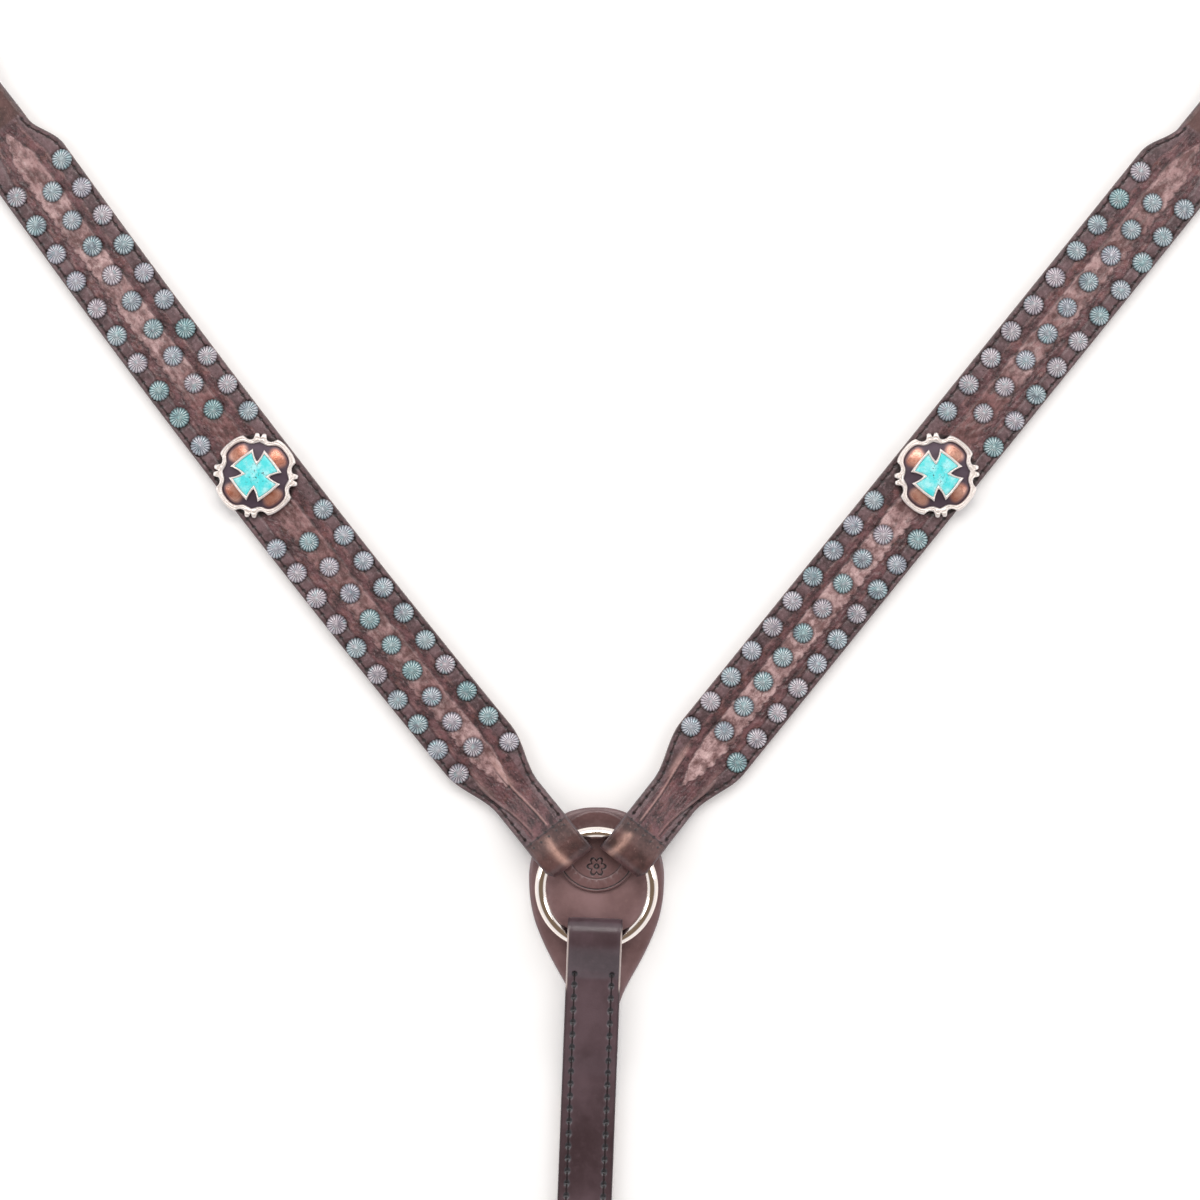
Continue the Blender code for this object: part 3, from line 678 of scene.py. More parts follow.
def silver():
    """Hand-cut silver with tarnish in its low parts."""
    f = Finish("silver")
    cloud = f.noise(2.4, 4.0, 0.65, seed=80.0)
    pit = f.cells(0.9, 81.0)
    low = f.mark("low")
    colour = f.mix(cloud, (0.7, 0.61, 0.57), (0.96, 0.91, 0.88))
    tarnish = (low.step(0.25, 0.9) * 0.85 + cloud.step(0.58, 0.78) * 0.4).clamped()
    colour = f.mix(tarnish, colour, (0.1, 0.072, 0.068))
    return f.surface(
        Base_Color=colour,
        Roughness=0.34 + cloud * 0.16,
        Metallic=0.8,
        Normal=f.bumped(cloud + pit * 0.5, 0.16, 0.8),
    )


def turquoise():
    """Turquoise inlay with pale patches and dark specks of its matrix."""
    f = Finish("turquoise")
    cloud = f.noise(4.5, 4.0, 0.6, seed=90.0)
    speck = f.noise(1.0, 3.0, 0.75, seed=91.0)
    middle = 1 - f.mark("away").step(1.5, 8.0)
    dots = speck.step(0.56, 0.66) * (middle * 1.1 + cloud.step(0.5, 0.6) * 0.45)
    colour = f.over(
        f.mix(cloud.step(0.4, 0.62), (0.07, 0.72, 0.75), (0.4, 0.85, 0.87)),
        (speck.step(0.48, 0.64) * 0.25, (0.07, 0.55, 0.56)),
        (dots.clamped(), (0.02, 0.05, 0.06)),
    )
    return f.surface(
        Base_Color=colour,
        Roughness=0.3 + cloud * 0.15,
        Coat_Weight=0.3,
        Normal=f.bumped(speck, 0.14, 0.6),
    )


def patina_metal():
    """Antiqued spots: each one has its own tint, from verdigris to a pinkish grey."""
    f = Finish("patina_metal")
    ridge, rim = f.mark("ridge"), f.mark("rim")
    cloud = f.noise(2.2, 4.0, 0.7, seed=100.0)
    fleck = f.noise(0.7, 3.0, 0.7, seed=101.0)
    tarnish = f.noise(5.0, 3.0, 0.6, seed=102.0)
    stops = (
        (0.0, (0.19, 0.37, 0.38)),
        (0.2, (0.3, 0.42, 0.45)),
        (0.42, (0.37, 0.42, 0.47)),
        (0.62, (0.41, 0.41, 0.48)),
        (0.8, (0.5, 0.42, 0.47)),
        (1.0, (0.42, 0.37, 0.41)),
    )
    # painted highlight along the ridges of the flutes, dimmed near the edge
    shine = ridge.step(0.4, 1.0) * (0.12 + fleck.step(0.35, 0.65) * 0.55) * (1 - rim * 0.75)
    colour = f.over(
        f.add("ShaderNodeValToRGB", {"stops": stops}, {0: f.mark("tint")}),
        (cloud.step(0.5, 0.66) * 0.55, (0.2, 0.5, 0.52)),
        (cloud.step(0.46, 0.3) * 0.6, (0.62, 0.5, 0.56)),
        (tarnish.step(0.52, 0.68) * 0.5, (0.2, 0.2, 0.25)),
        (shine * (1 - tarnish.step(0.45, 0.65) * 0.8), (1.0, 1.0, 1.0)),
        ((1 - ridge.step(0.0, 0.65)) * (0.5 + tarnish * 0.4), (0.06, 0.062, 0.072)),
        # painted shade round the edge of each spot
        (rim * (0.05 + cloud * 0.45), (0.12, 0.1, 0.12)),
    )
    return f.surface(
        Base_Color=colour,
        Roughness=0.34 + cloud * 0.15,
        Metallic=0.5 + fleck * 0.2,
        Normal=f.bumped(fleck + cloud * 0.5, 0.14, 0.8),
    )


def floor_finish():
    f = Finish("pale_floor")
    mottle = f.noise(60.0, 2.0, seed=110.0)
    colour = f.mix(mottle, (0.93, 0.93, 0.93), (0.96, 0.96, 0.96))
    return f.surface(Base_Color=colour, Roughness=0.9, Emission_Color=colour, Emission_Strength=0.1)


# Strap routes: lists of (s, z, half thickness) along the middle of the leather


def tail_z(s):
    return TAIL_Z + (FLAT_TAIL_Z - TAIL_Z) * ease(s, 34, TAIL_END)


def front_z(s):
    over_ring = RING_Z + RING_WIRE + GAP + FACE_T / 2
    return over_ring + (tail_z(s) + LAYER_STEP - over_ring) * ease(s, 25, 42)


def belly_tail_z(s):
    over_safe = SAFE_T + GAP + LINING_T / 2
    return TAIL_Z + (over_safe - TAIL_Z) * ease(s, 31, 46) + (FLAT_TAIL_Z - over_safe) * ease(s, 71, 92)


def belly_front_z(s):
    return BELLY_FRONT_Z + (belly_tail_z(s) + LAYER_STEP - BELLY_FRONT_Z) * ease(s, 23, 43)


def top_z(s, bar):
    return FLAT_FACE_Z + (BAR_Z + WIRE_R + GAP + FACE_T / 2 - FLAT_FACE_Z) * ease(s, bar - 20, bar - 3)


class Route:
    """Stations along a strap: place, height, half thickness and how much of the tooling shows there."""

    def __init__(self):
        self.rows = []

    def add(self, s, z, half, shown=0.0):
        s, z, half, shown = np.broadcast_arrays(np.asarray(s, float), z, half, shown)
        self.rows += list(zip(s, z, half, shown))
        return self

    def stations(self, step):
        rows = spread_by_path(np.array(self.rows), step)
        tangent = np.gradient(rows[:, :2], axis=0)
        tangent /= np.linalg.norm(tangent, axis=1)[:, None]
        normal = np.stack([-tangent[:, 1], tangent[:, 0]], -1)
        return rows, normal


def spread_by_path(rows, step):
    lengths = np.linalg.norm(np.diff(rows[:, :2], axis=0), axis=1)
    keep = np.concatenate([[True], lengths > 1e-6])
    rows = rows[keep]
    at = np.concatenate([[0], np.cumsum(np.linalg.norm(np.diff(rows[:, :2], axis=0), axis=1))])
    want = np.linspace(0, at[-1], int(at[-1] / step) + 1)
    return np.stack([np.interp(want, at, rows[:, i]) for i in range(rows.shape[1])], -1)


def add_far_fold(route, bar, tail_end):
    high = BAR_Z + WIRE_R + GAP + FACE_T / 2
    turned = arc(bar + 0.1, (high + FLAT_TAIL_Z) / 2, (high - FLAT_TAIL_Z) / 2, 90, -90, 33)
    s, z = np.array(turned).T
    route.add(s, z, np.linspace(FACE_T / 2, LINING_T / 2, 33), np.linspace(1, 0, 33))
    route.add(np.linspace(bar - 2, tail_end, 20), FLAT_TAIL_Z, LINING_T / 2)
    return route


def add_near_fold(route, s0, front):
    turned = arc(s0, (TAIL_Z + front) / 2, (front - TAIL_Z) / 2, -90, -270, 33)
    s, z = np.array(turned).T
    route.add(s, z, np.linspace(LINING_T / 2, FACE_T / 2, 33), np.linspace(0, 1, 33))
    return route


def shoulder_route():
    route = Route()
    s = np.linspace(TAIL_END, FOLD_S + 0.5, 60)
    route.add(s, tail_z(s), LINING_T / 2)
    add_near_fold(route, FOLD_S, float(front_z(0.0)))
    s = np.linspace(FOLD_S + 0.5, TAIL_END, 90)
    route.add(s, front_z(s), FACE_T / 2, 1.0)
    s = np.linspace(TAIL_END + 1, TOP_BAR_S - 1, 200)
    route.add(s, top_z(s, TOP_BAR_S), FACE_T / 2, 1.0)
    return add_far_fold(route, TOP_BAR_S, TOP_TAIL_END)


def belly_route():
    route = Route()
    s = np.linspace(BELLY_TAIL_END, BELLY_FOLD_S + 0.5, 90)
    route.add(s, belly_tail_z(s), LINING_T / 2)
    add_near_fold(route, BELLY_FOLD_S, BELLY_FRONT_Z)
    s = np.linspace(BELLY_FOLD_S + 0.5, BELLY_TAIL_END, 120)
    route.add(s, belly_front_z(s), FACE_T / 2, 1.0)
    s = np.linspace(BELLY_TAIL_END + 1, SNAP_BAR_S - 1, 120)
    route.add(s, top_z(s, SNAP_BAR_S), FACE_T / 2, 1.0)
    return add_far_fold(route, SNAP_BAR_S, BELLY_END_TAIL)


def shoulder_half(s):
    wide = ease(s, *FLARE) - ease(s, *UPPER_TAPER)
    return NECK_HALF - PINCH / 2 * fold_pinch(s) + (BODY_HALF - NECK_HALF) * wide


def belly_half(s):
    return BELLY_HALF + (BELLY_END_HALF - BELLY_HALF) * ease(s, 190, 225)


def section_columns(top, under):
    """Columns round a strap's section: place across (-1 to 1), corner turn, and which side they lie on."""
    columns = [("top", t, 0.0) for t in np.linspace(-1, 1, top)]
    columns += [("right", 1.0, a) for a in np.radians((65, 40, 15, -15, -40, -65))]
    columns += [("under", t, 0.0) for t in np.linspace(1, -1, under)]
    columns += [("left", -1.0, a) for a in np.radians((-65, -40, -15, 15, 40, 65))]
    return columns


# What the tooling tells the finish about each point of the leather
MARKS = ("band", "ground", "low", "edge", "leaf", "raw", "lit", "rub", "fold")


def strap(
    name, lay, route, half_width, finish,
    relief=None, under_relief=None, step=0.65, top=60, under=9, corner=1.0,
):
    """A flat strap with rounded edges. relief(s, w, half) gives a side's height and its marks."""
    rows, normal = route.stations(step)
    s, z, half_t, shown = rows.T
    half = half_width(s)
    columns = section_columns(top, under)
    points = np.zeros((len(s), len(columns), 3))
    marks = {key: np.zeros((len(s), len(columns))) for key in (*MARKS, "across")}
    marks["along"] = np.repeat((s * MM)[:, None], len(columns), 1)
    corner = np.minimum(corner, half_t * 0.98)
    reach = half - corner
    for k, (side, t, turn) in enumerate(columns):
        if side in ("top", "under"):
            w = t * reach
            n = half_t if side == "top" else -half_t
            shape = relief if side == "top" else under_relief
            if shape:
                height, found = shape(s, w, half)
                n = n + height * (shown if side == "top" else -1.0)
                for key in found.keys() - {"raw"}:
                    marks[key][:, k] = found[key] * (shown if side == "top" else 1.0)
        else:
            w = t * (reach + corner * math.cos(turn))
            n = np.where(turn > 0, half_t - corner, -half_t + corner) + corner * math.sin(turn)
            marks["edge"][:, k] = 1.0
            if relief and turn > 0:
                marks["raw"][:, k] = relief(s, w, half)[1].get("raw", 0.0) * shown
        points[:, k] = lay.points(s + normal[:, 0] * n, w, z + normal[:, 1] * n)
        marks["across"][:, k] = w * MM
    return skin(name, points, finish, marks=marks)


# Tooling


def border_at(half):
    """How far from the middle the knife line of the border runs."""
    return half - 4.4 - 3.3 * ease(half, NECK_HALF, BODY_HALF)


def band_edges(s, seed):
    """Half widths of the raised band, on its outer and inner side."""
    lower = np.interp(s, [61, 64, 68, 73, 79, 86], [0, 0.8, 2.4, 3.7, 5.0, BAND_HALF])
    fade = np.interp(s, [427, 434, 440, 446], [BAND_HALF, 4.2, 2.2, 0])
    width = np.minimum(lower, fade)
    wobble = ripple(s, s * 0, seed, 9.0)
    teeth = np.abs(np.sin(math.pi * s / SCALLOP + 0.6 * wobble))
    outer = width * (1 + 0.05 * wobble) + (1.15 * teeth - 0.35) * (width > 0.5)
    inner = width * (1 + 0.07 * wobble) + 0.35 * teeth * (width > 0.5)
    return outer, inner, width


def holes(s, w, rows, step, start, end, size, depth):
    """Awl holes at even steps along the lines w = rows."""
    along = np.abs((s - start) / step - np.round((s - start) / step)) * step
    inside = (s > start - step / 2) & (s < end + step / 2)
    total = 0.0
    for row in rows:
        total = total + depth * np.exp(-(along**2 + (w - row) ** 2) / size**2) * inside
    return total


class Tooled:
    """Tooled leather: its height and its dark and pale marks, built up one stroke at a time."""

    def __init__(self):
        self.height = 0.0
        self.low = 0.0
        self.leaf = 0.0

    def stroke(self, height, low=0.0, leaf=0.0):
        self.height = self.height + height
        self.low = self.low + low
        self.leaf = self.leaf + leaf


def tool_border(work, s, w, border, tooled, seed):
    """The knife line along each edge, with a raised line inside it."""
    line = bump(np.abs(w) - border, 0.4) * tooled * ease(s, 62, 76)
    work.stroke(-0.28 * line, 0.3 * line)
    pair = bump(np.abs(w) - border + 1.5, 0.35) * tooled * ease(s, 70, 90)
    work.stroke(0.12 * pair, leaf=0.35 * pair * (ripple(s, w * 0, seed + 8, 11.0) > 0.1))


def tool_neck(work, s, w, lie):
    """Two long stems between the ring and the first spots, each ending in a swelling."""
    low, high, outer = lie["neck"]
    neck = window(s, TOOLED[0] + 1, TOOLED[0] + 3, 68, 80)
    along = ease(s, TOOLED[0], 72)
    for start, end, bright in ((low, high, 0.85), (outer, outer + 4.5, 0.3)):
        off = w - (start + (end - start) * along**1.6 + 0.5 * np.sin(s / 8.0))
        work.stroke(0.3 * bump(off, 0.5) * neck, leaf=bright * bump(off, 0.42) * neck)
        beside = bump(off - 0.95, 0.4) * neck
        work.stroke(-0.35 * beside, 0.45 * beside)
        swell = window(s, 58, 66, 74, 82) * bump(off + 1.2, 1.3)
        work.stroke(0.2 * swell, leaf=bright * 0.8 * swell)


def tool_sewing(work, s, w, edge):
    """The cut and holes across the strap at the ring, and the stitching groove along both edges."""
    across = bump(s - TOOLED[0], 0.5)
    work.stroke(-0.28 * across * (edge > 1.0), 0.45 * across)
    for back in (0.0, 2.4):
        for row in np.arange(-2, 3) * 4.4:
            # painted shade in the awl holes at the ring
            hole = 0.6 * np.exp(-((s - TOOLED[0] + back) ** 2 + (w - row) ** 2) / 0.3)
            work.stroke(-hole, 1.4 * hole)
    groove = bump(edge - STITCH_IN, 0.6) * window(s, 35, 37, 448, 450)
    work.stroke(-0.2 * groove, 0.2 * groove)
    # painted shade in the stitch holes
    hole = holes(s, edge, (STITCH_IN,), STITCH_STEP, *STITCHED, 0.72, 0.8)
    work.stroke(-hole, 1.5 * hole)


def press_and_shade_fittings(work, s, w, spots):
    """Leather pressed in round each spot, with painted shadow round each spot and under the concho."""
    for at, across in spots:
        near = np.abs(s - at) < 8
        if np.any(near):
            away = np.hypot(s - at, w - across)
            pressed = np.exp(-(((away - SPOT_R) / 0.9) ** 2)) * near
            work.stroke(-0.25 * pressed, 0.34 * pressed)
    away = np.hypot(s - CONCHO_S, w - CONCHO_W)
    # painted shadow under the concho
    work.stroke(0.0, 0.5 * (1 - ease(away, CONCHO_R - 1.5, CONCHO_R + 1.0)))


def highlight_and_bend_marks(s, w, lie):
    """Painted highlights where the tooling catches the light and along the crown of the fold loop, and where
    the leather is bent.
    """
    highlight_from, highlight_to, highlight_w = lie["rub"]
    low, high, above = lie["lit"]
    # painted highlight along the crown of the fold loop
    rub = window(s, highlight_from, highlight_from + 5, highlight_to - 3, highlight_to) * bump(w - highlight_w, 1.9)
    lit = low + (high - low) * ease(s, 130, 190)
    lit = np.where(s > CONCHO_S, above * ease(s, 290, 312), lit)
    lit = lit * (0.85 + 0.35 * ripple(s, w * 0, lie["seed"] + 9, 22.0))
    fold = (1 - window(s, 33.5, 35.0, 448.0, 449.5)) * np.ones_like(w)
    return {"fold": fold, "lit": np.clip(lit, 0, 1), "rub": rub}


def shoulder_tooling(name, lie):
    seed = lie["seed"]
    spots = spot_places(name, seed)

    def relief(s, w, half):
        edge = half - np.abs(w)
        tooled = window(s, TOOLED[0], TOOLED[0] + 1.2, TOOLED[1] - 3, TOOLED[1])
        outer, inner, width = band_edges(s, seed)
        beyond = np.where(w > 0, w - outer, -w - inner)
        band = (1 - ease(beyond, -0.35, 0.2)) * (width > 0.05)
        border = border_at(half)
        ground = (1 - ease(np.abs(w), border - 0.5, border + 0.1)) * (1 - band) * tooled
        nearby = np.exp(-np.clip(beyond, 0, 50) / 1.6) * (width > 0.05)
        cut_in = 0.4 * ground * np.exp(-np.clip(beyond, 0, 50) / 0.5) * (width > 0.05)
        flow = 0.15 * ripple(s * 0.3, w * 2.8, seed + 3, 4.0) + 0.09 * ripple(s, w, seed + 4, 2.2)

        work = Tooled()
        work.stroke(ground * (flow - 0.22 - 0.5 * nearby), cut_in)
        work.stroke(band * tooled * (0.15 + 0.14 * ripple(s * 0.5, w * 1.5, seed + 5, 3.6)))
        tool_border(work, s, w, border, tooled, seed)
        tool_neck(work, s, w, lie)
        tool_sewing(work, s, w, edge)
        press_and_shade_fittings(work, s, w, spots)
        work.stroke(-0.35 * (1 - ease(edge, 0.5, 1.9)))
        work.stroke(0.06 * ripple(s, w, seed + 7, 14.0))
        marks = {"band": band * tooled, "ground": ground}
        marks |= {"low": np.clip(work.low, 0, 1.5), "leaf": np.clip(work.leaf, 0, 1)}
        return work.height, marks | highlight_and_bend_marks(s, w, lie)

    return relief


def belly_sewing(s, w, half):
    edge = half - np.abs(w)
    sewn = window(s, BELLY_STITCHED[0] - 2, BELLY_STITCHED[0], 243, 245)
    groove = bump(edge - BELLY_STITCH_IN, 0.75) * sewn
    hole = holes(s, edge, (BELLY_STITCH_IN,), BELLY_STITCH_STEP, *BELLY_STITCHED, 1.05, 1.1)
    crown = 0.25 * (1 - (w / (half - BELLY_STITCH_IN)) ** 2).clip(-0.4, 1) * sewn
    height = crown - 0.3 * groove - hole - 0.35 * (1 - ease(edge, 0.6, 2.4)) + 0.06 * ripple(s, w, 5, 16.0)
    # painted shade in the awl holes and the stitch groove
    low = 1.6 * hole + 0.2 * groove
    raw = window(s, 17, 22, 45, 49) * np.ones_like(w)
    return height, {"low": np.clip(low, 0, 1.5), "raw": raw}


def tug_sewing(s, w, half):
    edge = half - np.abs(w)
    line = bump(edge - 2.2, 0.4)
    height = -0.18 * line - 0.25 * (1 - ease(edge, 0.5, 1.8)) + 0.05 * ripple(s, w, 9, 12.0)
    # painted shade along the stitch groove
    return height, {"low": 0.25 * line}


def screw_recess(s, w, half):
    away = np.hypot(s - CONCHO_S, w - CONCHO_W)
    return -1.5 * (1 - ease(away, 4.7, 5.1)), {"low": 0.8 * (1 - ease(away, 4.9, 5.6))}


def sew(name, lay, middles, half_width, inset, top, length, radius, draw, finish):
    """Short lengths of thread along both edges, each lying from one awl hole to the next."""
    shells = Shells()
    u = np.linspace(-1, 1, 7)
    thickness = radius * np.sqrt(np.clip(1 - 0.8 * u**4, 0.05, 1))
    for side in (-1, 1):
        for middle in middles:
            s = middle + u * length / 2
            w = side * (half_width(s) - inset) + draw.uniform(-0.08, 0.08)
            points = lay.points(s, w, top(s) - radius * 1.5 * np.abs(u) ** 3 + radius * 0.25)
            shells.add(sweep(points, thickness, 8, False, 0.8), tint=draw.rand())
    return shells.piece(name, finish)


# Pieces


def make_shoulder(name, lie, lay, finishes):
    body = f"{name}_strap"
    relief = shoulder_tooling(name, lie)
    shape = shoulder_route(), shoulder_half
    face = strap(f"{name}_strap_leather", lay, *shape, finishes["tooled"], relief, top=64)
    settle(face, body, "tooled_leather", f"{name}_face")
    route = Route().add(np.linspace(TAIL_END + 0.6, TOP_TAIL_END - 0.6, 120), FLAT_TAIL_Z, LINING_T / 2)
    detail = {"under_relief": screw_recess, "step": 0.8, "top": 7, "under": 44, "corner": 0.8}
    lining = strap(f"{name}_strap_lining", lay, route, shoulder_half, finishes["lining"], **detail)
    settle(lining, body, "lining_leather", f"{name}_lining")

    def thread_z(s):
        flat = np.where(s < TAIL_END, front_z(s), top_z(s, TOP_BAR_S))
        return flat + FACE_T / 2 - 0.18

    middles = np.arange(STITCHED[0], STITCHED[1] - STITCH_STEP / 2, STITCH_STEP) + STITCH_STEP / 2
    sizes = STITCH_STEP - 0.9, 0.42
    draw = np.random.RandomState(lie["seed"])
    sewn = f"{name}_strap_stitching"
    sewing = sew(sewn, lay, middles, shoulder_half, STITCH_IN, thread_z, *sizes, draw, finishes["thread"])
    settle(sewing, body, "tooled_leather")


def spot_places(name, seed):
    """Where each spot of a strap sits; they are set by hand, so none is quite on its line."""
    draw = np.random.RandomState(seed + 100)
    places = []
    for rows in ROWS[name].values():
        for row, (first, last, w) in rows.items():
            for s in np.linspace(first, last, SPOTS[row]):
                places.append((s + draw.uniform(-0.4, 0.4), w + draw.uniform(-0.35, 0.35)))
    return places


def spot_rings(lay, s0, w0, draw):
    """One fluted domed spot, and how high each of its points stands on a ridge."""
    flutes = 18
    sides = flutes * 5
    a = np.linspace(0, 2 * math.pi, sides, endpoint=False)
    turn = draw.uniform(0, 2 * math.pi)
    wave = 1 - (0.5 - 0.5 * np.cos(flutes * a)) ** 1.6
    size = draw.uniform(0.98, 1.02)
    tilt = draw.uniform(-0.025, 0.025, 2)
    rings, ridge = [], []
    for share, z in SPOT_PROFILE:
        depth = 0.62 * ease(share, 0.05, 0.3) * (0.6 + 0.4 * share)
        r = SPOT_R * size * share * (1 - 0.05 * (1 - wave) * ease(share, 0.5, 1.0))
        height = z - depth * (1 - wave) * (z > 0.1)
        x = r * np.cos(a + turn)
        y = r * np.sin(a + turn)
        height = height + tilt[0] * x + tilt[1] * y
        rings.append(lay.points(s0 + x, w0 + y, FACE_TOP + GAP - 0.3 + np.maximum(height, 0.0)))
        ridge.append(wave * float(ease(share, 0.03, 0.16)) + 0.75 * (1 - float(ease(share, 0.03, 0.16))))
    return np.array(rings), np.array(ridge)


def make_spot_row(name, body, lay, places, draw, finish):
    shells = Shells()
    ridges, rims = [], []
    # how near its edge each ring lies: the finish paints shade there and dims the painted ridge highlight
    rim = ease(np.array(SPOT_PROFILE)[:, 0], 0.7, 1.0)
    for place in places:
        rings, ridge = spot_rings(lay, *place, draw)
        shells.add(rings, tint=draw.rand())
        ridges.append(ridge.ravel())
        rims.append(np.repeat(rim, ridge.shape[1]))
    marks = {"ridge": np.concatenate(ridges), "rim": np.concatenate(rims)}
    settle(shells.piece(f"{name}_set", finish, marks), body, "patina_metal", name)


def make_spots(name, lie, lay, finish):
    draw = np.random.RandomState(lie["seed"] + 200)
    places = spot_places(name, lie["seed"])
    for section, rows in ROWS[name].items():
        for row in rows:
            here, places = places[: SPOTS[row]], places[SPOTS[row] :]
            make_spot_row(f"{name}_spots_{section}_{row}", f"{name}_strap", lay, here, draw, finish)


# Outer and inner edge of the concho's border: degrees from the middle of a lobe, and share of the radius
BORDER_OUTER = (
    (0, 1.005), (8, 1.01), (16, 1.01), (20.5, 1.0), (22, 0.965), (24, 0.915), (27, 0.88),
    (30.5, 0.868), (33.3, 0.875), (35.1, 0.9), (36.3, 0.96), (37.4, 1.005), (39.5, 1.02),
    (42.4, 1.005), (43.7, 0.96), (45, 0.9),
)
BORDER_INNER = (
    (0, 0.88), (8, 0.878), (14, 0.865), (18, 0.845), (22, 0.805), (26, 0.765), (30, 0.745),
    (35, 0.745), (40, 0.765), (45, 0.79),
)


def scroll_edge(turn, shares):
    """Radius of an edge of the border at each turn; the edge repeats eight times, mirrored."""
    a = np.degrees(turn) % 90
    a = np.minimum(a, 90 - a)
    at, share = np.array(shares).T
    return CONCHO_R * np.interp(a, at, share)


def cross_line(inset):
    """The outline of the cross: arms that widen outwards, with slightly hollow sides and full ends."""
    end = CROSS_END - inset
    notch = CROSS_NOTCH - inset * 1.1
    half = CROSS_HALF_END - inset * 1.35
    points = []
    for quarter in range(4):
        a = math.radians(90 * quarter)
        shares = np.linspace(0, 1, 9)[:-1]
        flank = [(notch + (end - notch) * f, notch + (half - notch) * f**1.6) for f in shares]
        tip = [(end + 0.3 * math.cos(math.pi * u / 2), half * u) for u in np.linspace(-1, 1, 11)]
        arm = [(x, -y) for x, y in flank] + tip + [(x, y) for x, y in reversed(flank)][:-1]
        for x, y in arm:
            points.append((x * math.cos(a) - y * math.sin(a), x * math.sin(a) + y * math.cos(a)))
    return np.array(points)


def offsets(line, distance):
    """A smooth closed line moved sideways."""
    tangent = np.roll(line, -1, 0) - np.roll(line, 1, 0)
    tangent /= np.linalg.norm(tangent, axis=1)[:, None]
    return line + np.stack([tangent[:, 1], -tangent[:, 0]], -1) * distance


def on_concho(lay, x, y, z):
    return lay.points(CONCHO_S + x, CONCHO_W + y, z)


def polar(lay, radii, turns, z):
    return on_concho(lay, radii * np.cos(turns), radii * np.sin(turns), z)


def make_disc(lay, name, outer, inner, turns, finish):
    """The copper dish: blackened at its edge and between its lobes."""
    low, edge = FACE_TOP + GAP, CONCHO_EDGE
    middle = (outer + inner) / 2
    rim = ((middle, low - 0.25), (outer - 0.35, low - 0.2), (outer - 0.3, edge - 0.3), (middle, edge))
    rings = [polar(lay, r, turns, z) for r, z in rim]
    dark = [np.ones(len(turns))] * len(rim)
    axis = np.cos(4 * turns)
    for share in (1.0, 0.97, 0.93, 0.88, 0.82, 0.74, 0.64, 0.5, 0.3, 0.02):
        r = inner * share + 0.2 * (share > 0.99)
        facet = 0.75 * axis * np.clip((r - 9.0) / 6.0, 0, 1) * np.clip((inner - r) / 2.0, 0, 1)
        z = edge - 0.1 + 2.2 * (1 - (r / CONCHO_R) ** 2.2) + 0.35 * facet
        rings.append(polar(lay, r, turns, z))
        rubbed = ease(axis, -0.25, 0.8) * ease(inner - r, 0.3, 2.6)
        dark.append(1.0 - 0.95 * rubbed)
    return skin(name, rings, finish, marks={"dark": np.array(dark)})


def make_rim(name, loops, lows, finish):
    """A closed band of silver from the loops of its section, each with how tarnished it is."""
    rings = np.stack(loops, 1)
    return skin(name, rings, finish, True, marks={"low": np.tile(lows, (len(rings), 1))})


def make_stone(lay, name, seed, level, finish):
    line = cross_line(CROSS_EDGE - 0.1)
    rings, away = [], []
    profile = ((1.0, 0.1), (1.0, 0.8), (0.96, 1.02), (0.85, 1.1), (0.65, 1.13), (0.4, 1.15), (0.2, 1.15))
    for share, z in (*profile, (0.02, 1.15)):
        x, y = line.T * share
        uneven = 0.07 * ripple(x, y, seed, 2.0) * (share < 0.97)
        rings.append(on_concho(lay, x, y, level + z + uneven))
        away.append(np.hypot(x, y))
    return skin(name, rings, finish, marks={"away": np.array(away)})


def make_concho(name, lie, lay, finishes):
    body = f"{name}_strap"
    part = f"{name}_concho"
    turns = np.linspace(0, 2 * math.pi, 720, endpoint=False)
    outer = scroll_edge(turns, BORDER_OUTER)
    inner = scroll_edge(turns, BORDER_INNER)
    disc = make_disc(lay, f"{part}_disc", outer, inner, turns, finishes["copper"])
    settle(disc, body, "copper", f"{part}_base")

    foot, top = CONCHO_EDGE - 0.1, CONCHO_EDGE + 1.95
    section = ((0.0, foot, 1.0), (0.0, top - 0.75, 0.6), (0.1, top - 0.3, 0.15), (0.24, top, 0.0))
    section += ((0.4, top + 0.06, 0.0), (0.5, top - 0.14, 0.5), (0.6, top + 0.06, 0.0), (0.76, top, 0.0))
    section += ((0.9, top - 0.3, 0.2), (1.0, top - 0.75, 0.7), (1.0, foot, 1.0))
    loops = [polar(lay, outer + (inner - outer) * share, turns, z) for share, z, _ in section]
    border = make_rim(f"{part}_scroll", loops, [low for _, _, low in section], finishes["silver"])
    settle(border, body, "silver", f"{part}_border")

    level = CONCHO_TOP - 0.2
    section = ((0.0, -0.5, 0.9), (0.02, 1.05, 0.3), (0.3, 1.45, 0.0), (0.65, 1.55, 0.0), (1.0, 1.4, 0.1))
    section += ((1.25, 0.9, 0.6), (CROSS_EDGE, 0.0, 1.0))
    loops = [on_concho(lay, *cross_line(inset).T, level + z) for inset, z, _ in section]
    cross = make_rim(f"{part}_cross_edge", loops, [low for _, _, low in section], finishes["silver"])
    settle(cross, body, "silver", f"{part}_cross")

    stone = make_stone(lay, f"{part}_inlay", lie["seed"] + 9, level, finishes["turquoise"])
    settle(stone, body, "turquoise", f"{part}_stone")
    settle(make_screw(f"{part}_screw_head", lay, finishes["nickel"]), body, "nickel", f"{part}_screw")


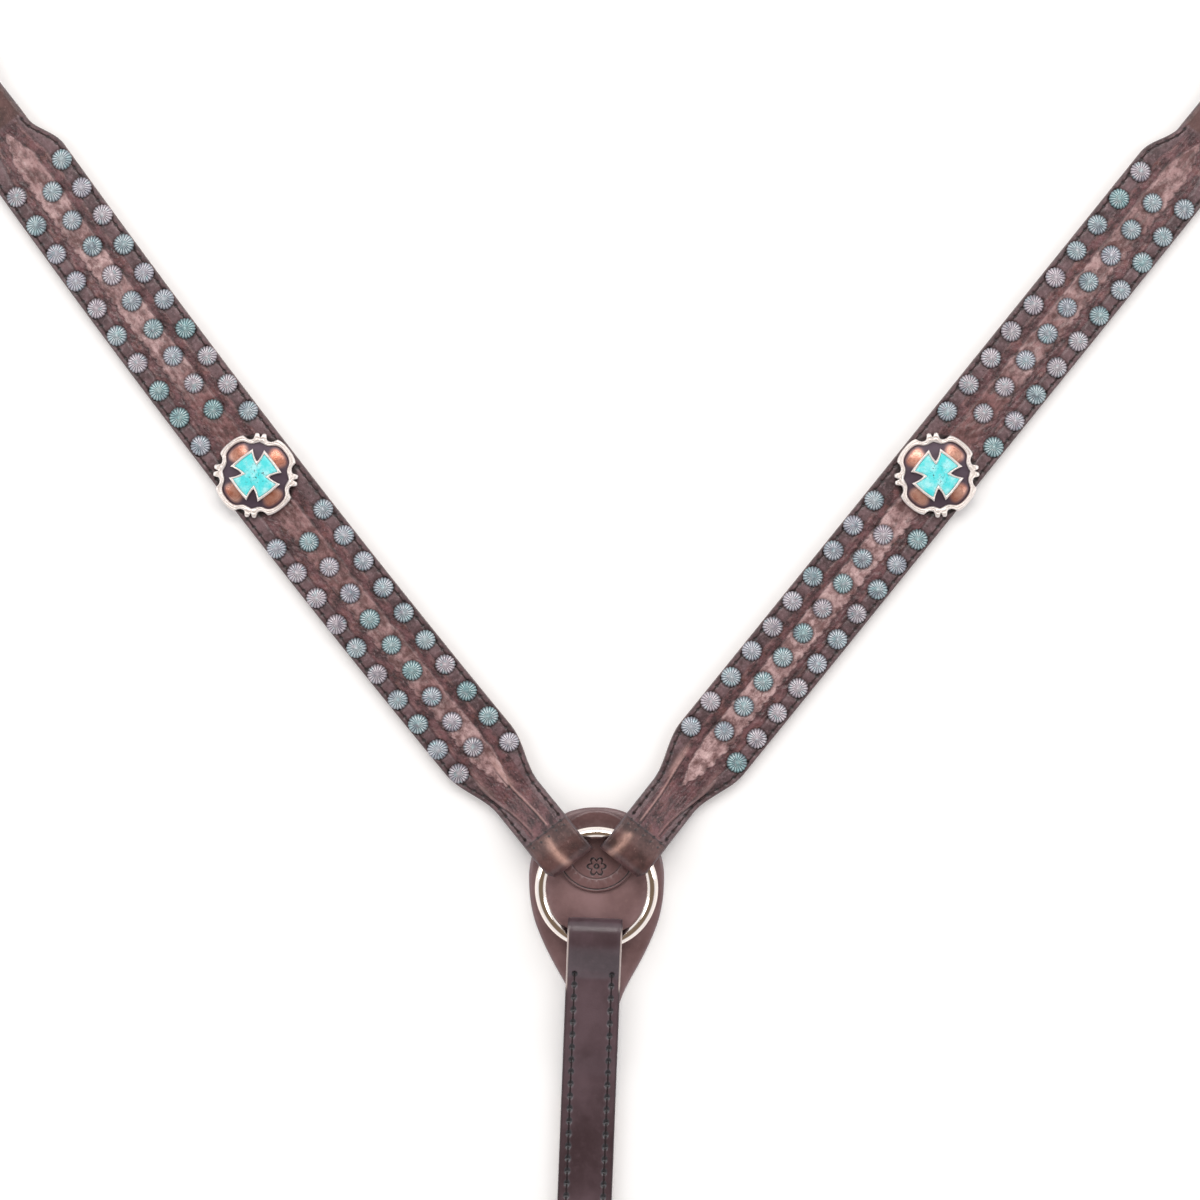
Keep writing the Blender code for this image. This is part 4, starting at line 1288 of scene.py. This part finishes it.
def make_screw(name, lay, finish):
    profile = [(0.0, 1.25), (4.2, 1.25), (4.4, 1.0), (4.4, 0.55), (4.0, 0.25), (2.6, 0.15), (0.0, 0.12)]
    head = skin(name, lathe_rings(profile, lay.points(CONCHO_S, CONCHO_W, 0.0)[:2] / MM, 40), finish)
    slot = (CONCHO_S - 3.2, CONCHO_S + 3.2), (CONCHO_W - 0.45, CONCHO_W + 0.45), (-0.5, 0.55)
    cut(head, block(lay, *slot, finish))
    return head


def make_rectangle(name, lay, middle, half_s, half_w, z, wire, finish):
    flat = rounded_box(half_s, half_w, 4.0, 12)
    return skin(name, sweep(lay.points(middle + flat[:, 0], flat[:, 1], z), wire, 24, True), finish, True)


def tug_route():
    half = TUG_T / 2
    round_heel = BUCKLE_WIRE + GAP + half
    round_bar = WIRE_R + GAP + half
    heel_top = HEEL_Z + round_heel
    bar_top = BAR_Z + round_bar
    far = (TUG_EYE + TUG_T) / 2
    over = TUG_T + GAP + half
    billet = heel_top + TUG_T + GAP

    def inner_z(s):
        return bar_top + (heel_top - bar_top) * float(ease(s, TUG_BAR_S + 6, HEEL_S - 2))

    points = [(HEEL_S - 15, HEEL_Z - round_heel + 2.2), (HEEL_S - 8, HEEL_Z - round_heel + 1.0)]
    points += arc(HEEL_S, HEEL_Z, round_heel, -90, 90, 25)
    points += [(s, inner_z(s)) for s in np.linspace(HEEL_S - 4, TUG_BAR_S + 4, 24)]
    points += arc(TUG_BAR_S, BAR_Z, round_bar, 90, 270, 25)
    points += [(s, half) for s in np.linspace(TUG_BAR_S + 4, TUG_FAR_S - 4, 30)]
    points += arc(TUG_FAR_S, half + far, far, -90, 90, 25)
    top = half + 2 * far
    points += [(s, over + (top - over) * float(ease(s, 590, 642))) for s in np.linspace(641, 575, 30)]
    for s in np.linspace(573, 547, 24):
        points.append((s, billet + (over - billet) * float(ease(s, HEEL_S + 2, HEEL_S + 22))))
    points += [(s, inner_z(s) + TUG_T + GAP) for s in np.linspace(HEEL_S - 2, HEEL_S - 34, 16)]
    return Route().add(*np.array(points).T, half, 1.0)


def make_tug_leather(name, lay, finish):
    """The tug strap, narrowed to a rounded tip, with a slot for the tongue at the buckle."""
    route = tug_route()
    rows, _ = route.stations(0.9)
    run = np.concatenate([[0], np.cumsum(np.linalg.norm(np.diff(rows[:, :2], axis=0), axis=1))])
    tip = run[-1] - run
    half = TUG_HALF * np.sqrt(np.clip(1 - (np.clip(11.0 - tip, 0, 11) / 11.6) ** 2, 0.05, 1))
    detail = {"step": 0.9, "top": 34, "under": 34, "corner": 0.85}
    piece = strap(name, lay, route, lambda s: half, finish, tug_sewing, tug_sewing, **detail)
    lower = HEEL_S - 6, HEEL_S + 6.4, 2.55, HEEL_Z + 4.95
    upper = HEEL_S - 3, HEEL_S + 14, HEEL_Z + 1, HEEL_Z + 9
    for start, end, *levels in (lower, upper):
        flat = rounded_box((end - start) / 2, TONGUE_R + 0.5, 1.8, 6)
        walls = [lay.points((start + end) / 2 + flat[:, 0], flat[:, 1], z) for z in levels]
        cut(piece, skin("slot", walls, finish, smooth=False))
    return piece


def make_tongue(name, lay, finish):
    reach = BUCKLE_WIRE + GAP + TONGUE_R
    sides = np.linspace(0, 2 * math.pi, 16, endpoint=False)
    r = reach + TONGUE_R * np.cos(sides)
    eye = []
    for a in np.linspace(0, 2 * math.pi, 40, endpoint=False):
        eye.append(lay.points(HEEL_S + r * math.cos(a), TONGUE_R * np.sin(sides), HEEL_Z + r * math.sin(a)))
    shells = Shells()
    shells.add(eye, closed=True)
    u = np.linspace(0, 1, 24)
    pin = lay.points(HEEL_S + u * (BUCKLE_SPAN + 3.2), 0.0, HEEL_Z + reach)
    shells.add(sweep(pin, TONGUE_R * 0.98 * np.sqrt(np.clip(1 - u**30, 0.1, 1)) * (1 - 0.18 * u), 16, False))
    return shells.piece(name, finish)


def make_keeper(name, lay, finish):
    inner = rounded_box(3.35, TUG_HALF + 0.4, 0.9, 6)
    section = ((0.0, 0.7), (0.25, 1.25), (1.0, 1.4), (4.5, 1.5), (8.0, 1.4), (8.75, 1.25), (9.0, 0.7))
    section += ((9.0, 0.25), (8.6, 0.0), (0.4, 0.0), (0.0, 0.25))
    rings = []
    for s, grow in section:
        loop = offsets(inner, grow)
        rings.append(lay.points(HEEL_S - 30 + s, loop[:, 1], KEEPER_Z + loop[:, 0]))
    return skin(name, rings, finish, True)


def make_tug(name, lay, finishes):
    body = f"{name}_tug_strap"
    nickel_finish, leather = finishes["nickel"], finishes["plain"]
    settle(make_tug_leather(f"{name}_tug_leather", lay, leather), body, "plain_leather", f"{name}_tug")
    sizes = HEEL_S + BUCKLE_SPAN / 2, BUCKLE_SPAN / 2, BUCKLE_HALF, HEEL_Z, BUCKLE_WIRE
    frame_piece = make_rectangle(f"{name}_buckle_frame", lay, *sizes, nickel_finish)
    settle(frame_piece, body, "nickel", f"{name}_buckle")
    tongue = make_tongue(f"{name}_buckle_tongue", lay, nickel_finish)
    settle(tongue, f"{name}_pin", "nickel", f"{name}_tongue")
    settle(make_keeper(f"{name}_tug_keeper", lay, leather), body, "plain_leather", f"{name}_keeper")


def make_belly(lay, finishes):
    detail = {"relief": belly_sewing, "top": 48, "step": 0.7}
    face = strap("belly_strap_leather", lay, belly_route(), belly_half, finishes["belly"], **detail)
    settle(face, "belly", "plain_leather", "belly_face")
    between = np.linspace(BELLY_TAIL_END + 0.6, BELLY_END_TAIL - 0.6, 40)
    route = Route().add(between, FLAT_TAIL_Z, LINING_T / 2)
    detail = {"step": 1.5, "top": 7, "under": 13, "corner": 0.8}
    lining = strap("belly_strap_lining", lay, route, belly_half, finishes["lining"], **detail)
    settle(lining, "belly", "lining_leather", "belly_lining")

    def thread_z(s):
        flat = np.where(s < BELLY_TAIL_END, belly_front_z(s), top_z(s, SNAP_BAR_S))
        return flat + FACE_T / 2 - 0.5

    start, end = BELLY_STITCHED
    middles = np.arange(start, end - BELLY_STITCH_STEP, BELLY_STITCH_STEP) + BELLY_STITCH_STEP / 2
    sizes = BELLY_STITCH_STEP - 1.5, 0.45
    draw = np.random.RandomState(3)
    where = "belly_strap_stitching", lay, middles, belly_half, BELLY_STITCH_IN, thread_z
    settle(sew(*where, *sizes, draw, finishes["belly_thread"]), "belly", "plain_leather")


def safe_outline():
    upper = ((7.4, 36.3), (14.6, 34.0), (21.6, 29.0), (26.6, 22.6), (29.6, 16.0), (31.2, 9.0), (31.5, 3.0))
    lower = ((30.9, -6.0), (28.9, -15.6), (25.2, -25.2), (20.6, -34.6), (15.4, -43.9), (12.4, -50.0))
    side = (*upper, *lower, (9.6, -57.0), (5.0, -64.0))
    points = [(0.0, 36.9), *side, (0.0, -67.0), *((-x, y) for x, y in reversed(side))]
    return spread(curve_through(points, 8), 0.8)


def make_safe(finish):
    """The teardrop behind the ring: thinned towards its edge, with the edge itself rounded and burnished."""
    outline = safe_outline()
    core = np.array([0.0, -6.0])
    rows = [(core + (outline - core) * 0.02, 0.0, 0.0)]
    rows += [(offsets(outline, inset), z, mark) for inset, z, mark in SAFE_EDGE]
    inner = offsets(outline, SAFE_EDGE[-1][0])
    for share in (0.97, 0.93, 0.88, 0.82, 0.75, 0.66, 0.55, 0.42, 0.28, 0.14, 0.02):
        line = core + (inner - core) * share
        away = np.min(np.linalg.norm(line[:, None, :] - outline[None, :, :], axis=2), axis=1)
        rows.append((line, 2.25 + 0.7 * ease(away, 2.0, 9.0), 0.35 * float(ease(share, 0.8, 1.0))))
    rings = [np.column_stack([line, np.broadcast_to(z, len(line))]) * MM for line, z, _ in rows]
    edge = np.repeat([mark for _, _, mark in rows], len(outline))
    piece = skin("ring_safe_leather", rings, finish, marks={"edge": edge})
    settle(piece, "belly", "safe_leather", "ring_safe")


def stamped(x, y):
    """Height of the patch's ornament: a six-petalled rosette over an arc of seeds, on its lower half."""
    r = np.hypot(x, y)
    line = bump(r - 17.9, 0.35) + 0.7 * bump(r - 13.0, 0.3)
    seeds = 0.0
    for n in range(26):
        a = 2 * math.pi * (n + 0.5) / 26
        long = (x - 15.4 * math.cos(a)) * math.cos(a) + (y - 15.4 * math.sin(a)) * math.sin(a)
        wide = -(x - 15.4 * math.cos(a)) * math.sin(a) + (y - 15.4 * math.sin(a)) * math.cos(a)
        seeds = seeds + np.exp(-((long / 1.2) ** 2) - (wide / 0.7) ** 2)
    fx, fy = x, y + 7.2
    fr = np.hypot(fx, fy)
    petal = 2.4 + 1.9 * np.abs(np.cos(3 * np.arctan2(fy, fx)))
    rosette = bump(fr - petal, 0.45) + bump(fr - 1.0, 0.4)
    lower = 1 - ease(y, -2.0, 3.0)
    return lower * (0.5 * seeds - 0.45 * line) - 0.6 * rosette + 0.04 * ripple(x, y, 4, 2.0)


def make_patch(finish):
    sides = 260
    a = np.linspace(0, 2 * math.pi, sides, endpoint=False)
    rows = []
    side = ((PATCH_R - 0.5, PATCH_Z), (PATCH_R, PATCH_Z + 0.5), (PATCH_R, PATCH_TOP - 0.7))
    for r, z in ((0.02, PATCH_Z), *side):
        rows.append((r, np.full(sides, z), np.zeros(sides), np.ones(sides)))
    for r in np.linspace(PATCH_R - 0.35, 0.02, 62):
        h = stamped(r * np.cos(a), r * np.sin(a))
        roll = 0.35 * (1 - ease(PATCH_R - r, 0.0, 1.2))
        z = PATCH_TOP - 0.1 - roll + np.clip(h, -0.6, 0.25)
        rows.append((r, z, np.clip(-h * 1.3, 0, 1), np.zeros(sides)))
    rings = np.array([np.stack([r * np.cos(a), r * np.sin(a) + PATCH_Y, z], -1) for r, z, _, _ in rows])
    marks = {"low": np.array([row[2] for row in rows]), "edge": np.array([row[3] for row in rows])}
    settle(skin("stamped_patch", rings * MM, finish, marks=marks), "belly", "patch_leather", "round_patch")


def make_ring(finish):
    a = np.linspace(0, 2 * math.pi, 200, endpoint=False)
    points = np.stack([RING_MID * np.cos(a), RING_MID * np.sin(a), np.full(200, RING_Z)], -1) * MM
    wire = skin("centre_ring_wire", sweep(points, RING_WIRE, 40, True), finish, True)
    settle(wire, "ring", "nickel", "center_ring")


def make_swivel(lay, finish):
    """The snap's loop, with the stem and head that its body turns on."""
    flat = rounded_box(EYE_SPAN / 2, EYE_HALF, 3.6, 12)
    far = SNAP_BAR_S + EYE_SPAN
    stem = ((0.0, 3.4), (1.8, 2.9), (2.8, 2.5), (10.4, 2.5))
    head = ((10.5, 3.9), (11.2, 4.2), (12.4, 4.1), (13.0, 3.2), (13.1, 0.3))
    s, r = np.array((*stem, *head)).T
    shells = Shells()
    loop = lay.points(SNAP_BAR_S + EYE_SPAN / 2 + flat[:, 0], flat[:, 1], BAR_Z)
    shells.add(sweep(loop, WIRE_R, 24, True), closed=True)
    shells.add(sweep(lay.points(far + s, 0.0, BAR_Z), r, 32, False))
    settle(shells.piece("snap_swivel_loop", finish), "snap_swivel_eye", "nickel", "snap_eye")


def hook_outline():
    outer = [(22, 5.2), (24, 8.0), (30, 12.0), (38, 14.2), (52, 14.6), (60, 13.6), (66, 10.4), (70, 5.6)]
    outer += [(71.5, 0.0), (70, -5.6), (66, -10.2), (61.5, -13.0), (57.3, -13.4), (57.1, -11.0), (57.3, -8.4)]
    inner = [(60.5, -6.4), (63.6, -3.4), (64.8, 0.0), (63.6, 4.0), (59.6, 7.2), (52, 8.2), (40, 8.0)]
    inner += [(35.5, 5.6), (34.4, 0.0), (35.2, -5.0), (37.0, -8.0), (37.0, -13.0)]
    inner += [(30, -11.4), (24, -8.0), (22, -5.2)]
    return spread(curve_through(outer + inner, 6), 0.9)


def make_hook(lay, finish):
    """The hook, with room for the head of the stem and a bore and slot for the bolt."""
    outline = hook_outline()
    levels = BAR_Z - HOOK_T / 2, BAR_Z + HOOK_T / 2
    prism = [lay.points(SNAP_BAR_S + outline[:, 0], outline[:, 1], z) for z in levels]
    hook = skin("snap_hook_body", prism, finish)
    cut(hook, block(lay, STEM_HEAD_ROOM, (-4.9, 4.9), (-4.0, 14.0), finish, SNAP_BAR_S))
    bevel = hook.modifiers.new("bevel", "BEVEL")
    bevel.width = 2.2 * MM
    bevel.segments = 5
    bevel.limit_method = "ANGLE"
    bevel.angle_limit = math.radians(50)
    apply_modifiers(hook)
    hook.data.polygons.foreach_set("use_smooth", [True] * len(hook.data.polygons))
    cut(hook, turned("bore", lay, [(s, BORE_R) for s in BOLT_BORE], BOLT_W, 36, finish))
    cut(hook, bolt_slot(lay, finish))
    settle(hook, "snap_body", "nickel", "snap_hook")


def make_snap(lay, finish):
    make_swivel(lay, finish)
    make_hook(lay, finish)
    collar = ((16.2, 2.85), (16.2, 4.4), (16.8, 5.1), (18.5, 5.2), (20.5, 5.2), (22.9, 4.9), (23.0, 2.85))
    settle(turned("snap_collar", lay, collar, 0.0, 36, finish, True), "snap_body", "nickel")
    outside = ((27.6, 0.3), (27.6, 3.6), (28.4, 4.5), (42.6, 4.6), (43.6, 4.3), (44.0, 3.4))
    inside = ((44.0, 2.65), (28.4, 2.65), (28.4, 0.3))
    tube = turned("snap_barrel", lay, outside + inside, BOLT_W, 36, finish)
    cut(tube, bolt_slot(lay, finish))
    settle(tube, "snap_body", "nickel")
    make_bolt(lay, finish)


def make_bolt(lay, finish):
    """The sliding bolt with its thumb knob."""
    shells = Shells()
    rod = ((38.6, 0.2), (38.6, 2.1), (38.9, 2.3), (56.0, 2.3), (56.6, 1.9), (56.8, 1.2), (56.8, 0.1))
    shells.add(turned_rings(lay, rod, BOLT_W, 28))
    knob = ((0.0, 0.0), (1.25, 0.0), (1.25, 5.2), (2.6, 5.5), (3.0, 6.1), (3.0, 6.8))
    knob += ((2.6, 7.4), (1.6, 7.6), (0.0, 7.6))
    centre = lay.points(SNAP_BAR_S + KNOB_S, BOLT_W, 0.0)[:2] / MM
    shells.add(lathe_rings([(r, BAR_Z + z) for r, z in knob], centre, 32))
    settle(shells.piece("snap_thumb_bolt", finish), "snap_plunger", "nickel", "snap_bolt")


def bolt_slot(lay, finish):
    """The slot that the knob of the bolt slides in."""
    return block(lay, BOLT_SLOT, (BOLT_W - 1.6, BOLT_W + 1.6), (BAR_Z, 15.0), finish, SNAP_BAR_S)


def block(lay, s, w, z, finish, origin=0.0):
    """A box in a strap's frame, to cut with; s is counted from the origin."""
    start, end = origin + s[0], origin + s[1]
    walls = [lay.points([start, end, end, start], [w[0], w[0], w[1], w[1]], level) for level in z]
    return skin("block", walls, finish, smooth=False)


def turned_rings(lay, profile, w, sides):
    """Rings of a shape turned about a line along the snap; profile is a list of (s from its bar, r)."""
    a = np.linspace(0, 2 * math.pi, sides, endpoint=False)
    return [lay.points(SNAP_BAR_S + s, w + r * np.cos(a), BAR_Z + r * np.sin(a)) for s, r in profile]


def turned(name, lay, profile, w, sides, finish, closed=False):
    return skin(name, turned_rings(lay, profile, w, sides), finish, closed)


# Stage


def area_light(name, place, aim, size, power, colour=(1, 1, 1)):
    data = bpy.data.lights.new(name, "AREA")
    data.shape = "RECTANGLE"
    data.size, data.size_y = size
    data.energy = power
    data.color = colour
    lamp = bpy.data.objects.new(name, data)
    bpy.context.collection.objects.link(lamp)
    lamp.location = place
    lamp.rotation_euler = (Vector(aim) - Vector(place)).to_track_quat("-Z", "Y").to_euler()
    return lamp


def studio_light():
    """Light from all round that falls off overhead, as in a light tent with an open top."""
    world = bpy.data.worlds.new("studio")
    world.use_nodes = True
    nodes = Nodes(world.node_tree)
    place = nodes.add("ShaderNodeTexCoord", output="Generated")
    height = nodes.add("ShaderNodeSeparateXYZ", None, {0: place}, "Z")
    colour = nodes.mix(height.step(0.55, 0.86), (0.96, 0.97, 1.0), (0.2, 0.15, 0.11))
    light = nodes.add("ShaderNodeBackground", None, {"Color": colour})
    nodes.add("ShaderNodeOutputWorld", None, {"Surface": light})
    bpy.context.scene.world = world


def make_stage():
    side = 6.0
    verts = [(-side, -side, -0.0002), (side, -side, -0.0002), (side, side, -0.0002), (-side, side, -0.0002)]
    build("floor", verts, [(0, 1, 2, 3)], floor_finish(), False)
    studio_light()
    target = (0.0, 0.12, 0.0)
    area_light("key", (0.0, 1.15, 1.4), target, (1.5, 0.4), 9.0, (1.0, 0.97, 0.94))
    area_light("overhead", (0.0, 0.8, 1.9), target, (0.9, 0.22), 6.0, (1.0, 0.98, 0.96))
    area_light("left_panel", (-1.3, 0.3, 1.0), target, (0.4, 1.4), 5.5)
    area_light("right_panel", (1.3, 0.3, 1.0), target, (0.4, 1.4), 5.5)


def make_camera():
    data = bpy.data.cameras.new("camera")
    data.lens = 100.0
    data.sensor_width = 36.0
    camera = bpy.data.objects.new("camera", data)
    bpy.context.collection.objects.link(camera)
    camera.location = (0.0016, 0.1336, 1.5565)
    camera.rotation_euler = (0.0, 0.0, 0.0)
    bpy.context.scene.camera = camera
    bpy.context.scene.view_settings.view_transform = "Standard"


def main():
    finishes = {
        "tooled": tooled_leather(),
        "belly": plain_leather("belly_leather", (0.045, 0.023, 0.027), (0.11, 0.066, 0.076), 0.28, 120.0),
        "plain": plain_leather("tug_leather", (0.04, 0.022, 0.02), (0.075, 0.045, 0.04), 0.4, 130.0),
        "safe": plain_leather("safe_leather", (0.17, 0.09, 0.086), (0.34, 0.2, 0.195), 0.4, 140.0),
        "patch": plain_leather("patch_leather", (0.11, 0.051, 0.049), (0.22, 0.115, 0.11), 0.35, 150.0),
        "lining": lining_leather(),
        "thread": thread("strap_thread", (0.075, 0.045, 0.045), (0.025, 0.014, 0.014)),
        "belly_thread": thread("belly_thread", (0.03, 0.018, 0.02), (0.014, 0.008, 0.009)),
        "nickel": nickel("nickel", (0.78, 0.74, 0.68), (0.92, 0.89, 0.85)),
        "ring": nickel("ring_nickel", (0.86, 0.76, 0.69), (0.98, 0.91, 0.86)),
        "copper": copper(),
        "silver": silver(),
        "turquoise": turquoise(),
        "patina": patina_metal(),
    }
    make_safe(finishes["safe"])
    make_patch(finishes["patch"])
    make_ring(finishes["ring"])
    for name, lie in SHOULDERS.items():
        lay = shoulder_lay(lie)
        make_shoulder(name, lie, lay, finishes)
        make_spots(name, lie, lay, finishes["patina"])
        make_concho(name, lie, lay, finishes)
        sizes = TOP_BAR_S + LOOP_SPAN / 2, LOOP_SPAN / 2, LOOP_HALF, BAR_Z, WIRE_R
        loop = make_rectangle(f"{name}_top_loop", lay, *sizes, finishes["nickel"])
        settle(loop, f"{name}_loop_ring", "nickel", f"{name}_loop")
        make_tug(name, lay, finishes)
    lay = belly_lay()
    make_belly(lay, finishes)
    make_snap(lay, finishes["nickel"])
    make_stage()
    make_camera()


main()
